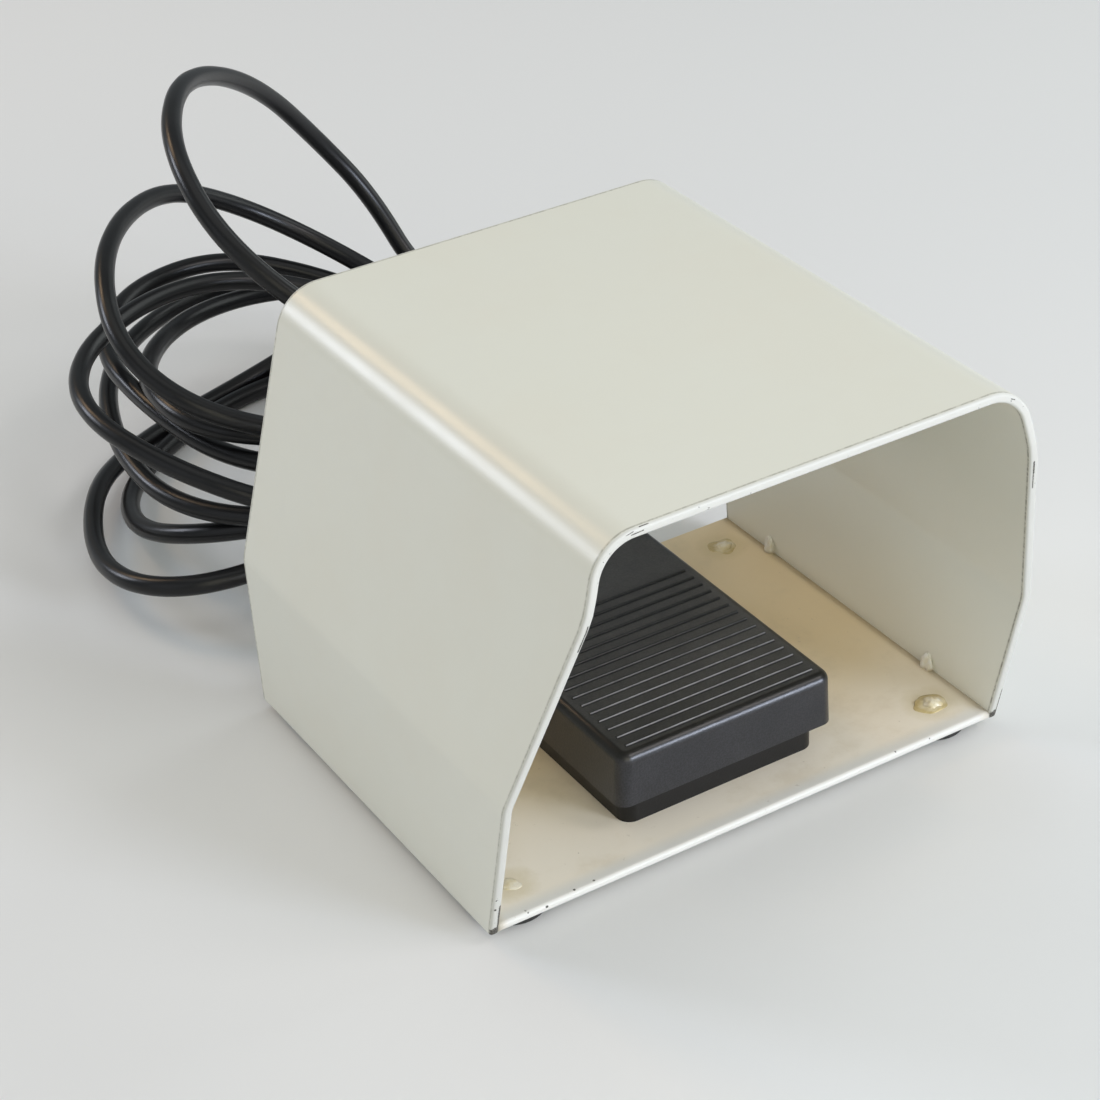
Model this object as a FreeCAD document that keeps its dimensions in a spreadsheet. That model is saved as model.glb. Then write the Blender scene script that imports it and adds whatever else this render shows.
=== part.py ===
import FreeCAD, Part
import math
import os
import re

import Sketcher
from FreeCAD import Placement, Rotation, Vector

# A foot pedal for a sewing machine under a bent sheet-metal foot guard.
# Millimetres. X runs to the right, the open front looks towards -Y, Z is up.
# The floor is at Z = 0 and the origin lies under the middle of the guard.

SIZES = {
    # foot guard: one bent hood and a base plate between its sides
    "guardHalf": 80.0,          # half the outer width at the base
    "foldHeight": 45.5,         # where the sides start to lean inwards
    "sideLean": 14.6,           # degrees that the sides lean in above the fold
    "guardHeight": 120.4,
    "crownRound": 12.9,         # outer bend radius between side and top
    "foldRound": 14.7,
    "sheetWall": 2.5,
    "foldReach": 11.0,          # how far the front edge leans out at the fold
    "kneeDrop": 18.3,           # front edge's rounded knee below the top
    "kneeReach": 26.4,
    "kneeRound": 21.0,
    "crownReach": 24.9,
    "baseDepth": 123.0,
    "rearReach": 2.8,           # how far the sides pass the base at the rear
    "plateWall": 2.5,
    "plateEdge": 1.0,
    # feet, their screws and the dabs of glue over the screw ends
    "footHeight": 3.0,
    "footRadius": 10.0,
    "footTaper": 0.6,
    "footSide": 13.0,           # middle of a foot from the guard's side, front and base's rear edge
    "footFront": 12.0,
    "footRear": 13.0,
    "footWeb": 1.0,
    "footScrewRadius": 1.5,
    "footHeadRadius": 2.8,
    "footHeadHeight": 1.7,
    "glueRadius": 5.0,
    "glueHeight": 1.9,
    # tack welds in the inside corners
    "tackFront": 26.0,
    "tackRear": 23.0,
    "tackLength": 13.0,
    "tackLeg": 2.2,
    # treadle: the ribbed rocking cover, in the pedal's own frame
    "pedalFront": 11.4,         # treadle's front face behind the base's front edge
    "treadleLength": 100.0,
    "treadleHalf": 33.1,        # half width at the top
    "treadleTop": 24.7,
    "treadleShell": 2.5,
    "skirtLow": 8.7,
    "skirtWall": 2.2,
    "skirtDraft": 2.5,          # degrees
    "treadleCorner": 3.5,
    "treadleEdge": 2.8,
    "ribCount": 15,
    "ribPitch": 4.18,
    "ribWidth": 1.0,
    "ribHeight": 0.45,
    "ribHalf": 29.1,
    "ribFirst": 4.2,
    # switch base: the hollow moulding below the treadle
    "baseHalf": 30.35,
    "baseFront": 3.6,
    "baseRear": 97.0,
    "baseHeight": 14.0,
    "baseWall": 2.5,
    "baseFloor": 3.0,
    "baseCorner": 4.0,
    # hinge
    "pinRear": 10.0,            # hinge pin ahead of the treadle's rear face
    "hingeHeight": 17.0,
    "pinRadius": 2.0,
    "pinHalf": 33.0,
    "runningGap": 0.05,
    "seatGap": 0.02,
    "lugInner": 22.5,
    "lugRadius": 4.5,
    "knuckleWidth": 4.0,
    "knuckleGap": 0.4,
    # stops
    "stopAcross": 17.0,
    "stopWidth": 6.0,
    "stopGap": 0.3,
    "restAcross": 21.5,
    "restWidth": 3.0,
    "restDepth": 5.8,
    "treadleSwing": 3.0,        # degrees, from released to pressed
    # return springs
    "springAcross": 20.0,
    "springAlong": 24.0,
    "springRadius": 4.0,
    "springWire": 0.45,
    "springTurns": 4.5,
    "springGap": 0.05,
    "spigotRadius": 2.75,
    "spigotHeight": 3.5,
    # snap-action switch
    "caseFront": 46.0,
    "caseLength": 19.8,
    "caseHalf": 3.2,
    "caseFoot": 1.0,
    "caseHeight": 10.2,
    "lidThick": 1.3,
    "caseHolePitch": 9.5,
    "caseHoleLow": 3.0,
    "caseHoleRadius": 1.2,
    "caseScrewRadius": 1.15,
    "caseHeadRadius": 2.0,
    "caseHeadHeight": 1.3,
    "postThick": 3.0,
    "postHeight": 9.0,
    "plungerReach": 5.0,        # plunger behind the lever's pivot
    "plungerRadius": 1.0,
    "plungerProud": 0.8,
    "plungerLength": 5.0,
    "plungerRoom": 0.8,
    "pivotReach": 1.5,
    "pivotHeight": 0.7,
    "leverLength": 17.5,
    "leverTouch": 16.0,
    "leverHalf": 1.25,
    "leverThick": 0.4,
    "leverRise": 5.5,           # degrees at rest
    "leverCurl": 0.7,
    "trunnionRadius": 0.5,
    "earThick": 0.5,
    "earGap": 0.1,
    # actuator screw and its nut under the treadle
    "actuatorRadius": 1.5,
    "actuatorGap": 0.1,
    "actuatorSink": 0.8,
    "bossRadius": 4.0,
    "bossDrop": 2.7,
    "nutThick": 2.4,
    "nutAcross": 5.5,
    # terminals and wiring
    "tabLength": 5.0,
    "tabWidth": 2.8,
    "tabThick": 0.5,
    "tabLow": 3.5,
    "tabPitch": 4.6,
    "sleeveLength": 5.0,
    "sleeveWall": 0.45,
    "sleeveStart": 1.0,
    "wireRadius": 0.9,
    "wireSpread": 1.3,
    # cord entry
    "cordRadius": 3.0,
    "glandHeight": 10.0,
    "sheathFront": 78.0,
    "flangeRadius": 6.6,
    "flangeThick": 1.6,
    "neckRadius": 4.95,
    "sleeveBig": 5.2,
    "sleeveSmall": 3.7,
    "reliefLength": 26.0,
    "reliefGrooves": 5,
    "grooveWidth": 1.6,
    "grooveDepth": 0.9,
    "notchGap": 1.6,
    # cord clamp
    "clampAlong": 83.0,
    "clampDepth": 6.0,
    "clampHalf": 13.0,
    "clampThick": 2.5,
    "clampAcross": 9.0,
    "clampBoss": 3.4,
    "clampScrewRadius": 1.5,
    "clampHeadRadius": 2.8,
    "clampHeadHeight": 2.0,
    "clampBite": 6.0,
    # screws that hold the pedal on the base plate
    "fixAcross": 21.0,
    "fixFront": 12.0,
    "fixSpan": 62.0,
    "fixRadius": 2.0,
    "fixHole": 2.15,
    "fixHeadRadius": 3.9,
    "fixHeadHeight": 2.3,
    "fixNutThick": 3.2,
    "fixNutAcross": 7.0,
    "fixProud": 0.8,
    # flat two-pin plug at the far end of the cord
    "plugHalf": 13.5,
    "plugThick": 13.7,
    "plugLength": 26.0,
    "plugSleeve": 22.0,
    "plugSleeveRadius": 6.0,
    "plugEdge": 2.0,
    "prongRadius": 2.0,
    "prongLength": 19.0,
    "prongPitch": 19.0,
}

doc = FreeCAD.newDocument("SewingMachinePedal")
sheet = doc.addObject("Spreadsheet::Sheet", "sizes")
for row, (alias, number) in enumerate(SIZES.items(), start=1):
    sheet.set("A%d" % row, alias)
    sheet.set("B%d" % row, repr(number))
    sheet.setAlias("B%d" % row, alias)
doc.recompute()

PIN = "treadleLength - pinRear"
SPRING_STEPS = 6                # arcs in one turn of a return spring
WORD = re.compile(r"[A-Za-z]\w*")
parts = []


def formula(text):
    """Point every size name in a formula at its cell."""
    return WORD.sub(lambda m: "sizes." + m[0] if m[0] in SIZES else m[0], str(text))


def value(text):
    """The number that a formula of size names gives."""
    return float(sheet.evalExpression(formula(text)))


def bind(thing, prop, text):
    thing.setExpression(prop, formula(text))


# Sketches and features

def newBody(name):
    body = doc.addObject("PartDesign::Body", name)
    body.Label = name
    return body


def sketchOn(body, plane, name, u="0", v="0", out="0"):
    """An empty sketch on one of the body's own planes, moved by formulas."""
    sketch = body.newObject("Sketcher::SketchObject", name)
    origin = [f for f in body.Origin.OriginFeatures if f.Role == plane + "_Plane"][0]
    sketch.AttachmentSupport = (origin, [""])
    sketch.MapMode = "FlatFace"
    bind(sketch, ".AttachmentOffset.Base.x", u)
    bind(sketch, ".AttachmentOffset.Base.y", v)
    bind(sketch, ".AttachmentOffset.Base.z", out)
    return sketch


def polygon(sketch, points):
    """A closed outline whose corners are pairs of formulas."""
    spots = [Vector(value(u), value(v), 0) for u, v in points]
    first = sketch.GeometryCount
    last = len(points) - 1
    for i, spot in enumerate(spots):
        sketch.addGeometry(Part.LineSegment(spot, spots[0 if i == last else i + 1]), False)
    for i in range(len(points)):
        following = first + (0 if i == last else i + 1)
        sketch.addConstraint(Sketcher.Constraint("Coincident", first + i, 2, following, 1))
    for i, (u, v) in enumerate(points):
        across = sketch.addConstraint(Sketcher.Constraint("DistanceX", -1, 1, first + i, 1, spots[i].x))
        bind(sketch, "Constraints[%d]" % across, u)
        up = sketch.addConstraint(Sketcher.Constraint("DistanceY", -1, 1, first + i, 1, spots[i].y))
        bind(sketch, "Constraints[%d]" % up, v)


def rectangle(sketch, left, right, low, high):
    polygon(sketch, [(left, low), (right, low), (right, high), (left, high)])


def circle(sketch, u, v, radius):
    middle = Vector(value(u), value(v), 0)
    ring = sketch.addGeometry(Part.Circle(middle, Vector(0, 0, 1), value(radius)), False)
    size = sketch.addConstraint(Sketcher.Constraint("Radius", ring, value(radius)))
    bind(sketch, "Constraints[%d]" % size, radius)
    across = sketch.addConstraint(Sketcher.Constraint("DistanceX", -1, 1, ring, 3, middle.x))
    bind(sketch, "Constraints[%d]" % across, u)
    up = sketch.addConstraint(Sketcher.Constraint("DistanceY", -1, 1, ring, 3, middle.y))
    bind(sketch, "Constraints[%d]" % up, v)


def hexagon(sketch, u, v, across):
    """A nut's outline, measured across its flats."""
    corner = "(%s) / 2 / cos(30deg)" % across
    points = []
    for i in range(6):
        angle = "%ddeg" % (60 * i)
        points.append(("(%s) + %s * cos(%s)" % (u, corner, angle), "(%s) + %s * sin(%s)" % (v, corner, angle)))
    polygon(sketch, points)


def grow(kind, body, sketch, length, back=False, both=False):
    """A pad or pocket of a sketch, its length a formula."""
    feature = body.newObject("PartDesign::" + kind, sketch.Name + kind)
    feature.Profile = sketch
    feature.Reversed = back
    if both:
        feature.Midplane = True
    bind(feature, "Length", length)
    return feature


def pad(body, sketch, length, back=False, both=False):
    return grow("Pad", body, sketch, length, back, both)


def pocket(body, sketch, length, back=False, both=False):
    """A pocket that is checked to have cut something."""
    doc.recompute()
    before = body.Shape.Volume
    feature = grow("Pocket", body, sketch, length, back, both)
    doc.recompute()
    if body.Shape.Volume > before - 1e-4:
        raise RuntimeError("nothing was cut by " + feature.Name)
    return feature


def turn(body, sketch):
    """A solid of revolution about the sketch's own upright axis."""
    feature = body.newObject("PartDesign::Revolution", sketch.Name + "Turn")
    feature.Profile = sketch
    feature.ReferenceAxis = (sketch, ["V_Axis"])
    feature.Angle = 360
    return feature


def edgesOf(body, test):
    """Names of the edges of the body's last feature that pass a test."""
    doc.recompute()
    return ["Edge%d" % (i + 1) for i, edge in enumerate(body.Tip.Shape.Edges) if test(edge)]


def dress(kind, body, test, size):
    """Fillet or chamfer the edges that pass a test."""
    names = edgesOf(body, test)
    feature = body.newObject("PartDesign::" + kind, "%s%s%d" % (body.Name, kind, len(body.Group)))
    feature.Base = (body.Group[-2], names)
    bind(feature, "Radius" if kind == "Fillet" else "Size", size)
    doc.recompute()
    return feature


def near(a, b):
    return abs(a - b) < 0.01


def along(edge, axis):
    """True for a straight edge along one axis."""
    if edge.Curve.TypeId != "Part::GeomLine":
        return False
    return abs(getattr(edge.Curve.Direction, axis)) > 0.98


def mirrored(name, source, axis, at="0"):
    """The source and its mirror image about a plane, as one group."""
    image = doc.addObject("Part::Mirroring", name + "Image")
    image.Source = source
    image.Normal = Vector(*[1 if letter == axis else 0 for letter in "xyz"])
    bind(image, ".Base." + axis, at)
    group = doc.addObject("Part::Compound", name)
    group.Links = [source, image]
    return group


# Frames: the guard stands on its feet, and the pedal stands on the base plate

def middleDepth():
    """Half way between the guard's foremost and rearmost points."""
    lean = math.atan2(value("kneeReach - foldReach"), value("guardHeight - kneeDrop - foldHeight"))
    back = math.atan2(value("kneeReach - crownReach"), value("kneeDrop"))
    bulge = value("kneeRound") * (1 - math.cos((lean + back) / 2)) / math.cos((lean + back) / 2)
    slope = (lean - back) / 2
    foremost = value("kneeReach") - (bulge + value("kneeRound")) * math.cos(slope) + value("kneeRound")
    return (value("baseDepth + rearReach") - foremost) / 2


MIDDLE = middleDepth()


def guardPlace():
    return Placement(Vector(0, -MIDDLE, value("footHeight")), Rotation())


def pedalPlace():
    ahead = value("pedalFront") - MIDDLE
    return Placement(Vector(0, ahead, value("footHeight + plateWall")), Rotation())


def finish(name, thing, place):
    """Label a finished sub-part, put it in its place and list it for export."""
    thing.Label = name
    thing.Placement = place
    parts.append((name, thing))


# Foot guard

def guardHood():
    body = newBody("guard_hood")
    rear = "baseDepth + rearReach"
    crown = "guardHalf - (guardHeight - foldHeight) * tan(sideLean * 1deg)"
    section = sketchOn(body, "XZ", "hoodSection", out="-(%s)" % rear)
    polygon(section, [
        ("guardHalf", "0"), ("guardHalf", "foldHeight"), (crown, "guardHeight"),
        ("-(%s)" % crown, "guardHeight"), ("-guardHalf", "foldHeight"), ("-guardHalf", "0")])
    pad(body, section, rear + " + kneeReach + 5")
    dress("Fillet", body, lambda e: along(e, "y") and e.CenterOfMass.z > value("guardHeight - 1"), "crownRound")
    dress("Fillet", body, lambda e: along(e, "y") and near(e.CenterOfMass.z, value("foldHeight")), "foldRound")

    # open at the front, the rear and below, with one wall all over
    doc.recompute()
    solid = body.Tip
    shell = body.newObject("PartDesign::Thickness", "hoodShell")
    openFaces = []
    for i, face in enumerate(solid.Shape.Faces):
        if face.CenterOfMass.z < 0.01 or abs(face.normalAt(0, 0).y) > 0.99:
            openFaces.append("Face%d" % (i + 1))
    shell.Base = (solid, openFaces)
    shell.Reversed = True
    bind(shell, "Value", "sheetWall")
    doc.recompute()

    # front edges lean forward, with a rounded knee near the top
    mouth = sketchOn(body, "YZ", "hoodMouth")
    polygon(mouth, [
        ("0", "0"), ("-foldReach", "foldHeight"), ("-kneeReach", "guardHeight - kneeDrop"),
        ("-crownReach", "guardHeight"), ("-crownReach", "guardHeight + 5"),
        ("-kneeReach - 10", "guardHeight + 5"), ("-kneeReach - 10", "-5"), ("0", "-5")])
    pocket(body, mouth, "4 * guardHalf", both=True)
    knee = value("guardHeight - kneeDrop")
    dress("Fillet", body, lambda e: along(e, "x") and near(e.CenterOfMass.z, knee), "kneeRound")

    # the rear edges lean back a little below the fold
    heel = sketchOn(body, "YZ", "hoodHeel")
    polygon(heel, [
        ("baseDepth", "0"), ("baseDepth + rearReach", "foldHeight"),
        ("baseDepth + rearReach + 5", "foldHeight"), ("baseDepth + rearReach + 5", "-5"), ("baseDepth", "-5")])
    pocket(body, heel, "4 * guardHalf", both=True)
    finish("guard_hood", body, guardPlace())


def basePlate():
    body = newBody("base_plate")
    outline = sketchOn(body, "XY", "plateOutline")
    side = "guardHalf - sheetWall"
    rectangle(outline, "-(%s)" % side, side, "0", "baseDepth")
    pad(body, outline, "plateWall")
    holes = sketchOn(body, "XY", "plateFootHoles")
    for across in ("guardHalf - footSide", "footSide - guardHalf"):
        for at in ("footFront", "baseDepth - footRear"):
            circle(holes, across, at, "footScrewRadius + seatGap")
    pocket(body, holes, "plateWall", back=True)
    fixings = sketchOn(body, "XY", "plateFixings")
    for across in ("fixAcross", "-fixAcross"):
        for at in ("pedalFront + fixFront", "pedalFront + fixFront + fixSpan"):
            circle(fixings, across, at, "fixHole")
    pocket(body, fixings, "plateWall", back=True)
    top = value("plateWall")
    dress("Fillet", body, lambda e: along(e, "x") and near(e.CenterOfMass.z, top) and near(e.CenterOfMass.y, 0),
          "plateEdge")
    finish("base_plate", body, guardPlace())


def tackWelds():
    """Four beads where the base plate meets the hood's sides."""
    bead = doc.addObject("Part::Ellipsoid", "tackBead")
    bind(bead, "Radius1", "tackLength / 2")
    bind(bead, "Radius2", "tackLeg")
    bind(bead, "Radius3", "tackLeg")
    bead.Angle3 = 90
    # local Z lies along Y, so the quarter opens upwards and inwards
    turned = Rotation(Vector(1, 0, 0), 90) * Rotation(Vector(0, 0, 1), 90)
    corner = Vector(value("guardHalf - sheetWall"), value("tackFront"), value("plateWall"))
    bead.Placement = Placement(corner, turned)
    row = mirrored("tackRow", bead, "x")
    group = mirrored("tack_welds", row, "y", "(tackFront + baseDepth - tackRear) / 2")
    finish("tack_welds", group, guardPlace())


def fourFeet(name, seed):
    """Copies of a seed at the front right foot, at all four feet."""
    row = mirrored(name + "Row", seed, "x")
    group = mirrored(name, row, "y", "(footFront + baseDepth - footRear) / 2")
    finish(name, group, guardPlace())


def footSketch(body, name):
    return sketchOn(body, "XZ", name, u="guardHalf - footSide", out="-footFront")


def rubberFeet():
    body = newBody("footSeed")
    profile = footSketch(body, "footProfile")
    bore = "footScrewRadius + 0.1"
    head = "footHeadRadius + 0.3"
    polygon(profile, [
        (bore, "0"), ("footRadius", "0"), ("footRadius - footTaper", "-footHeight"),
        (head, "-footHeight"), (head, "-footWeb"), (bore, "-footWeb")])
    turn(body, profile)
    fourFeet("rubber_feet", body)


def footScrews():
    body = newBody("footScrewSeed")
    profile = footSketch(body, "footScrewProfile")
    polygon(profile, [
        ("0", "plateWall"), ("footScrewRadius", "plateWall"), ("footScrewRadius", "-footWeb"),
        ("footHeadRadius", "-footWeb"), ("footHeadRadius", "-footWeb - footHeadHeight * 0.4"),
        ("footHeadRadius * 0.6", "-footWeb - footHeadHeight"), ("0", "-footWeb - footHeadHeight")])
    turn(body, profile)
    fourFeet("foot_screws", body)


def glueBlobs():
    body = newBody("glueSeed")
    profile = footSketch(body, "glueProfile")
    polygon(profile, [
        ("0", "plateWall"), ("glueRadius", "plateWall"), ("glueRadius * 0.86", "plateWall + glueHeight * 0.5"),
        ("glueRadius * 0.5", "plateWall + glueHeight * 0.92"), ("0", "plateWall + glueHeight")])
    turn(body, profile)
    fourFeet("glue_blobs", body)


# Pedal, in its own frame: Y from the treadle's front face, Z from the base plate

def skirtHalf(height):
    """Half the treadle's outer width at a height, as a formula."""
    return "(treadleHalf + (treadleTop - (%s)) * tan(skirtDraft * 1deg))" % height


def switchBase():
    body = newBody("switch_base")
    outline = sketchOn(body, "XY", "baseOutline")
    rectangle(outline, "-baseHalf", "baseHalf", "baseFront", "baseRear")
    pad(body, outline, "baseHeight")
    dress("Fillet", body, lambda e: along(e, "z"), "baseCorner")
    hollow = sketchOn(body, "XY", "baseHollow", out="baseFloor")
    rectangle(hollow, "-baseHalf + baseWall", "baseHalf - baseWall", "baseFront + baseWall", "baseRear - baseWall")
    pocket(body, hollow, "baseHeight", back=True)
    inner = value("baseHalf - baseWall") + 0.01
    front = value("baseFront + baseWall") - 0.01
    rear = value("baseRear - baseWall") + 0.01
    dress("Fillet", body, lambda e: along(e, "z") and abs(e.CenterOfMass.x) < inner
          and front < e.CenterOfMass.y < rear, "baseCorner - baseWall")
    baseLugs(body)
    baseStops(body)
    basePosts(body)
    baseClampSeat(body)

    # fixing holes through the floor
    fixings = sketchOn(body, "XY", "baseFixings")
    for across in ("fixAcross", "-fixAcross"):
        for at in ("fixFront", "fixFront + fixSpan"):
            circle(fixings, across, at, "fixHole")
    pocket(body, fixings, "baseFloor", back=True)

    # open slot in the rear wall that the cord's gland drops into
    slot = sketchOn(body, "XZ", "glandSlot", out="-baseRear - 0.5")
    neck = "neckRadius + seatGap"
    circle(slot, "0", "glandHeight", neck)
    pocket(body, slot, "baseWall + 1", back=True)
    mouth = sketchOn(body, "XZ", "glandMouth", out="-baseRear - 0.5")
    rectangle(mouth, "-(%s)" % neck, neck, "glandHeight", "baseHeight + 1")
    pocket(body, mouth, "baseWall + 1", back=True)
    finish("switch_base", body, pedalPlace())


def baseLugs(body):
    """Two hinge lugs inside the side walls, bored for the pin."""
    for side, sign in (("Right", ""), ("Left", "-")):
        cheek = sketchOn(body, "YZ", "lugCheek" + side, out=sign + "lugInner")
        thick = "baseHalf - baseWall / 2 - lugInner"
        rectangle(cheek, PIN + " - lugRadius", PIN + " + lugRadius", "baseFloor / 2", "hingeHeight")
        pad(body, cheek, thick, back=bool(sign))
        eye = sketchOn(body, "YZ", "lugEye" + side, out=sign + "lugInner")
        circle(eye, PIN, "hingeHeight", "lugRadius")
        pad(body, eye, "baseHalf - baseWall - lugInner", back=bool(sign))
    bore = sketchOn(body, "YZ", "lugBore")
    circle(bore, PIN, "hingeHeight", "pinRadius + seatGap")
    pocket(body, bore, "4 * baseHalf", both=True)


def baseStops(body):
    """Tabs on the rear wall that the treadle's top rests against when released."""
    high = "treadleTop - treadleShell - stopGap"
    tabs = sketchOn(body, "XZ", "stopTabs", out="-baseRear")
    for left in ("stopAcross - stopWidth / 2", "-stopAcross - stopWidth / 2"):
        rectangle(tabs, left, left + " + stopWidth", "baseHeight - 2", high)
    pad(body, tabs, "baseWall")


def basePosts(body):
    """Seat and screw post of the switch, and the spring spigots."""
    seat = sketchOn(body, "XY", "switchSeat", out="baseFloor / 2")
    rectangle(seat, "-caseHalf", "caseHalf + postThick", "caseFront", "caseFront + caseLength")
    pad(body, seat, "baseFloor / 2 + caseFoot")
    post = sketchOn(body, "XY", "switchPost", out="baseFloor / 2")
    rectangle(post, "caseHalf", "caseHalf + postThick", "caseFront", "caseFront + caseLength")
    pad(body, post, "baseFloor / 2 + postHeight")
    bore = sketchOn(body, "YZ", "postBores", out="caseHalf - 0.5")
    for i in (0, 1):
        circle(bore, caseHoleAlong(i), caseHoleHeight(), "caseHoleRadius")
    pocket(body, bore, "postThick + 1", back=True)
    spigots = sketchOn(body, "XY", "springSpigots", out="baseFloor / 2")
    for across in ("springAcross", "-springAcross"):
        circle(spigots, across, "springAlong", "spigotRadius")
    pad(body, spigots, "baseFloor / 2 + spigotHeight")


def baseClampSeat(body):
    """Saddle below the cord and a boss at each side for the clamp's screws."""
    saddle = sketchOn(body, "XY", "clampSaddle", out="baseFloor / 2")
    rectangle(saddle, "-clampAcross", "clampAcross", "clampAlong - clampDepth / 2", "clampAlong + clampDepth / 2")
    pad(body, saddle, "glandHeight - baseFloor / 2")
    bosses = sketchOn(body, "XY", "clampBosses", out="baseFloor / 2")
    for across in ("clampAcross", "-clampAcross"):
        circle(bosses, across, "clampAlong", "clampBoss")
    pad(body, bosses, "glandHeight + cordRadius - baseFloor / 2")
    groove = sketchOn(body, "XZ", "saddleGroove", out="-clampAlong")
    circle(groove, "0", "glandHeight", "cordRadius + seatGap")
    pocket(body, groove, "clampDepth + 2", both=True)
    bores = sketchOn(body, "XY", "clampBores", out="glandHeight + cordRadius")
    for across in ("clampAcross", "-clampAcross"):
        circle(bores, across, "clampAlong", "clampScrewRadius + seatGap")
    pocket(body, bores, "clampBite")


def treadle():
    body = newBody("treadle")
    section = sketchOn(body, "XZ", "treadleSection")
    low = skirtHalf("skirtLow")
    polygon(section, [
        (low, "skirtLow"), ("treadleHalf", "treadleTop"), ("-treadleHalf", "treadleTop"), ("-" + low, "skirtLow")])
    pad(body, section, "treadleLength", back=True)
    dress("Fillet", body, lambda e: along(e, "z"), "treadleCorner")
    top = value("treadleTop")
    dress("Fillet", body, lambda e: near(e.BoundBox.ZMin, top) and near(e.BoundBox.ZMax, top), "treadleEdge")

    # hollow below, with the same draft as the skirt
    hollow = sketchOn(body, "XZ", "treadleHollow", out="-skirtWall")
    roof = "treadleTop - treadleShell"
    lowIn = skirtHalf("skirtLow - 1") + " - skirtWall"
    highIn = skirtHalf(roof) + " - skirtWall"
    polygon(hollow, [
        (lowIn, "skirtLow - 1"), (highIn, roof), ("-(%s)" % highIn, roof), ("-(%s)" % lowIn, "skirtLow - 1")])
    pocket(body, hollow, "treadleLength - 2 * skirtWall")
    treadleInside(body, roof)
    treadleRibs(body)

    # notch in the rear skirt round the gland
    notch = sketchOn(body, "XZ", "rearNotch", out="-treadleLength - 0.5")
    round_ = "flangeRadius + notchGap"
    circle(notch, "0", "glandHeight", round_)
    pocket(body, notch, "skirtWall + 1", back=True)
    finish("treadle", body, pedalPlace())


def treadleInside(body, roof):
    """Hinge knuckles, spring pegs, stop ribs and the actuator's boss."""
    for side, sign in (("Right", ""), ("Left", "-")):
        inside = sign + "(lugInner - knuckleGap)"
        web = sketchOn(body, "YZ", "knuckleWeb" + side, out=inside)
        rectangle(web, PIN + " - lugRadius", PIN + " + lugRadius", "hingeHeight", roof + " + 0.5")
        pad(body, web, "knuckleWidth", back=not sign)
        eye = sketchOn(body, "YZ", "knuckleEye" + side, out=inside)
        circle(eye, PIN, "hingeHeight", "lugRadius")
        pad(body, eye, "knuckleWidth", back=not sign)
    bore = sketchOn(body, "YZ", "hingeBore")
    circle(bore, PIN, "hingeHeight", "pinRadius + runningGap")
    pocket(body, bore, "4 * treadleHalf", both=True)

    pegs = sketchOn(body, "XY", "springPegs", out=roof + " + 0.5")
    for across in ("springAcross", "-springAcross"):
        circle(pegs, across, "springAlong", "spigotRadius")
    pad(body, pegs, "spigotHeight + 0.5", back=True)
    # the stop ribs meet the base's front wall when the treadle is pressed
    restLow = "(baseHeight + stopGap + (treadleLength - pinRear - baseFront) * tan(treadleSwing * 1deg))"
    stops = sketchOn(body, "XY", "stopRibs", out=restLow)
    for left in ("restAcross - restWidth / 2", "-restAcross - restWidth / 2"):
        rectangle(stops, left, left + " + restWidth", "skirtWall - 0.5", "skirtWall + restDepth")
    pad(body, stops, roof + " + 0.5 - " + restLow)

    boss = sketchOn(body, "XY", "actuatorBoss", out=roof + " + 0.5")
    circle(boss, "0", touchAlong(), "bossRadius")
    pad(body, boss, "bossDrop + 0.5", back=True)
    thread = sketchOn(body, "XY", "actuatorBore", out=roof + " - bossDrop - 0.5")
    circle(thread, "0", touchAlong(), "actuatorRadius + seatGap")
    pocket(body, thread, "bossDrop + 0.5 + actuatorSink", back=True)


def treadleRibs(body):
    """Raised anti-slip ribs across the top, the rear third left smooth."""
    rib = sketchOn(body, "YZ", "ribSection")
    half = "ribWidth / 2"
    polygon(rib, [
        ("ribFirst - " + half, "treadleTop - 0.2"), ("ribFirst - " + half, "treadleTop + ribHeight * 0.5"),
        ("ribFirst - ribWidth * 0.28", "treadleTop + ribHeight"),
        ("ribFirst + ribWidth * 0.28", "treadleTop + ribHeight"),
        ("ribFirst + " + half, "treadleTop + ribHeight * 0.5"), ("ribFirst + " + half, "treadleTop - 0.2")])
    one = pad(body, rib, "2 * ribHalf", both=True)
    doc.recompute()
    row = body.newObject("PartDesign::LinearPattern", "ribRow")
    row.Originals = [one]
    row.Direction = (rib, ["H_Axis"])
    bind(row, "Length", "ribPitch * (ribCount - 1)")
    bind(row, "Occurrences", "ribCount")
    body.Tip = row
    doc.recompute()


def hingePin():
    body = newBody("hinge_pin")
    section = sketchOn(body, "YZ", "pinSection")
    circle(section, PIN, "hingeHeight", "pinRadius")
    pad(body, section, "2 * pinHalf", both=True)
    ends = value("pinHalf")
    dress("Chamfer", body, lambda e: near(abs(e.CenterOfMass.x), ends), "pinRadius / 4")
    finish("hinge_pin", body, pedalPlace())


def returnSprings():
    """Two coil springs between the base's floor and the treadle's top."""
    radius = value("springRadius")
    low = value("baseFloor + springWire + springGap")
    rise = value("treadleTop - treadleShell - springWire - springGap") - low
    steps = int(round(value("springTurns") * SPRING_STEPS))
    springs = []
    for side in (1, -1):
        middle = Vector(side * value("springAcross"), value("springAlong"), low)
        route = []
        for i in range(steps + 1):
            angle = 2 * math.pi * i / SPRING_STEPS
            route.append(middle + Vector(radius * math.cos(angle), radius * math.sin(angle), rise * i / steps))
        springs.append(tube(route, value("springWire"))[0])
    group = doc.addObject("Part::Feature", "return_springs")
    group.Shape = Part.makeCompound(springs)
    finish("return_springs", group, pedalPlace())


# Snap-action switch

def caseHoleAlong(i):
    start = "caseFront + (caseLength - caseHolePitch) / 2"
    return start if i == 0 else start + " + caseHolePitch"


def caseHoleHeight():
    return "baseFloor + caseFoot + caseHoleLow"


def caseTop():
    return "(baseFloor + caseFoot + caseHeight)"


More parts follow.
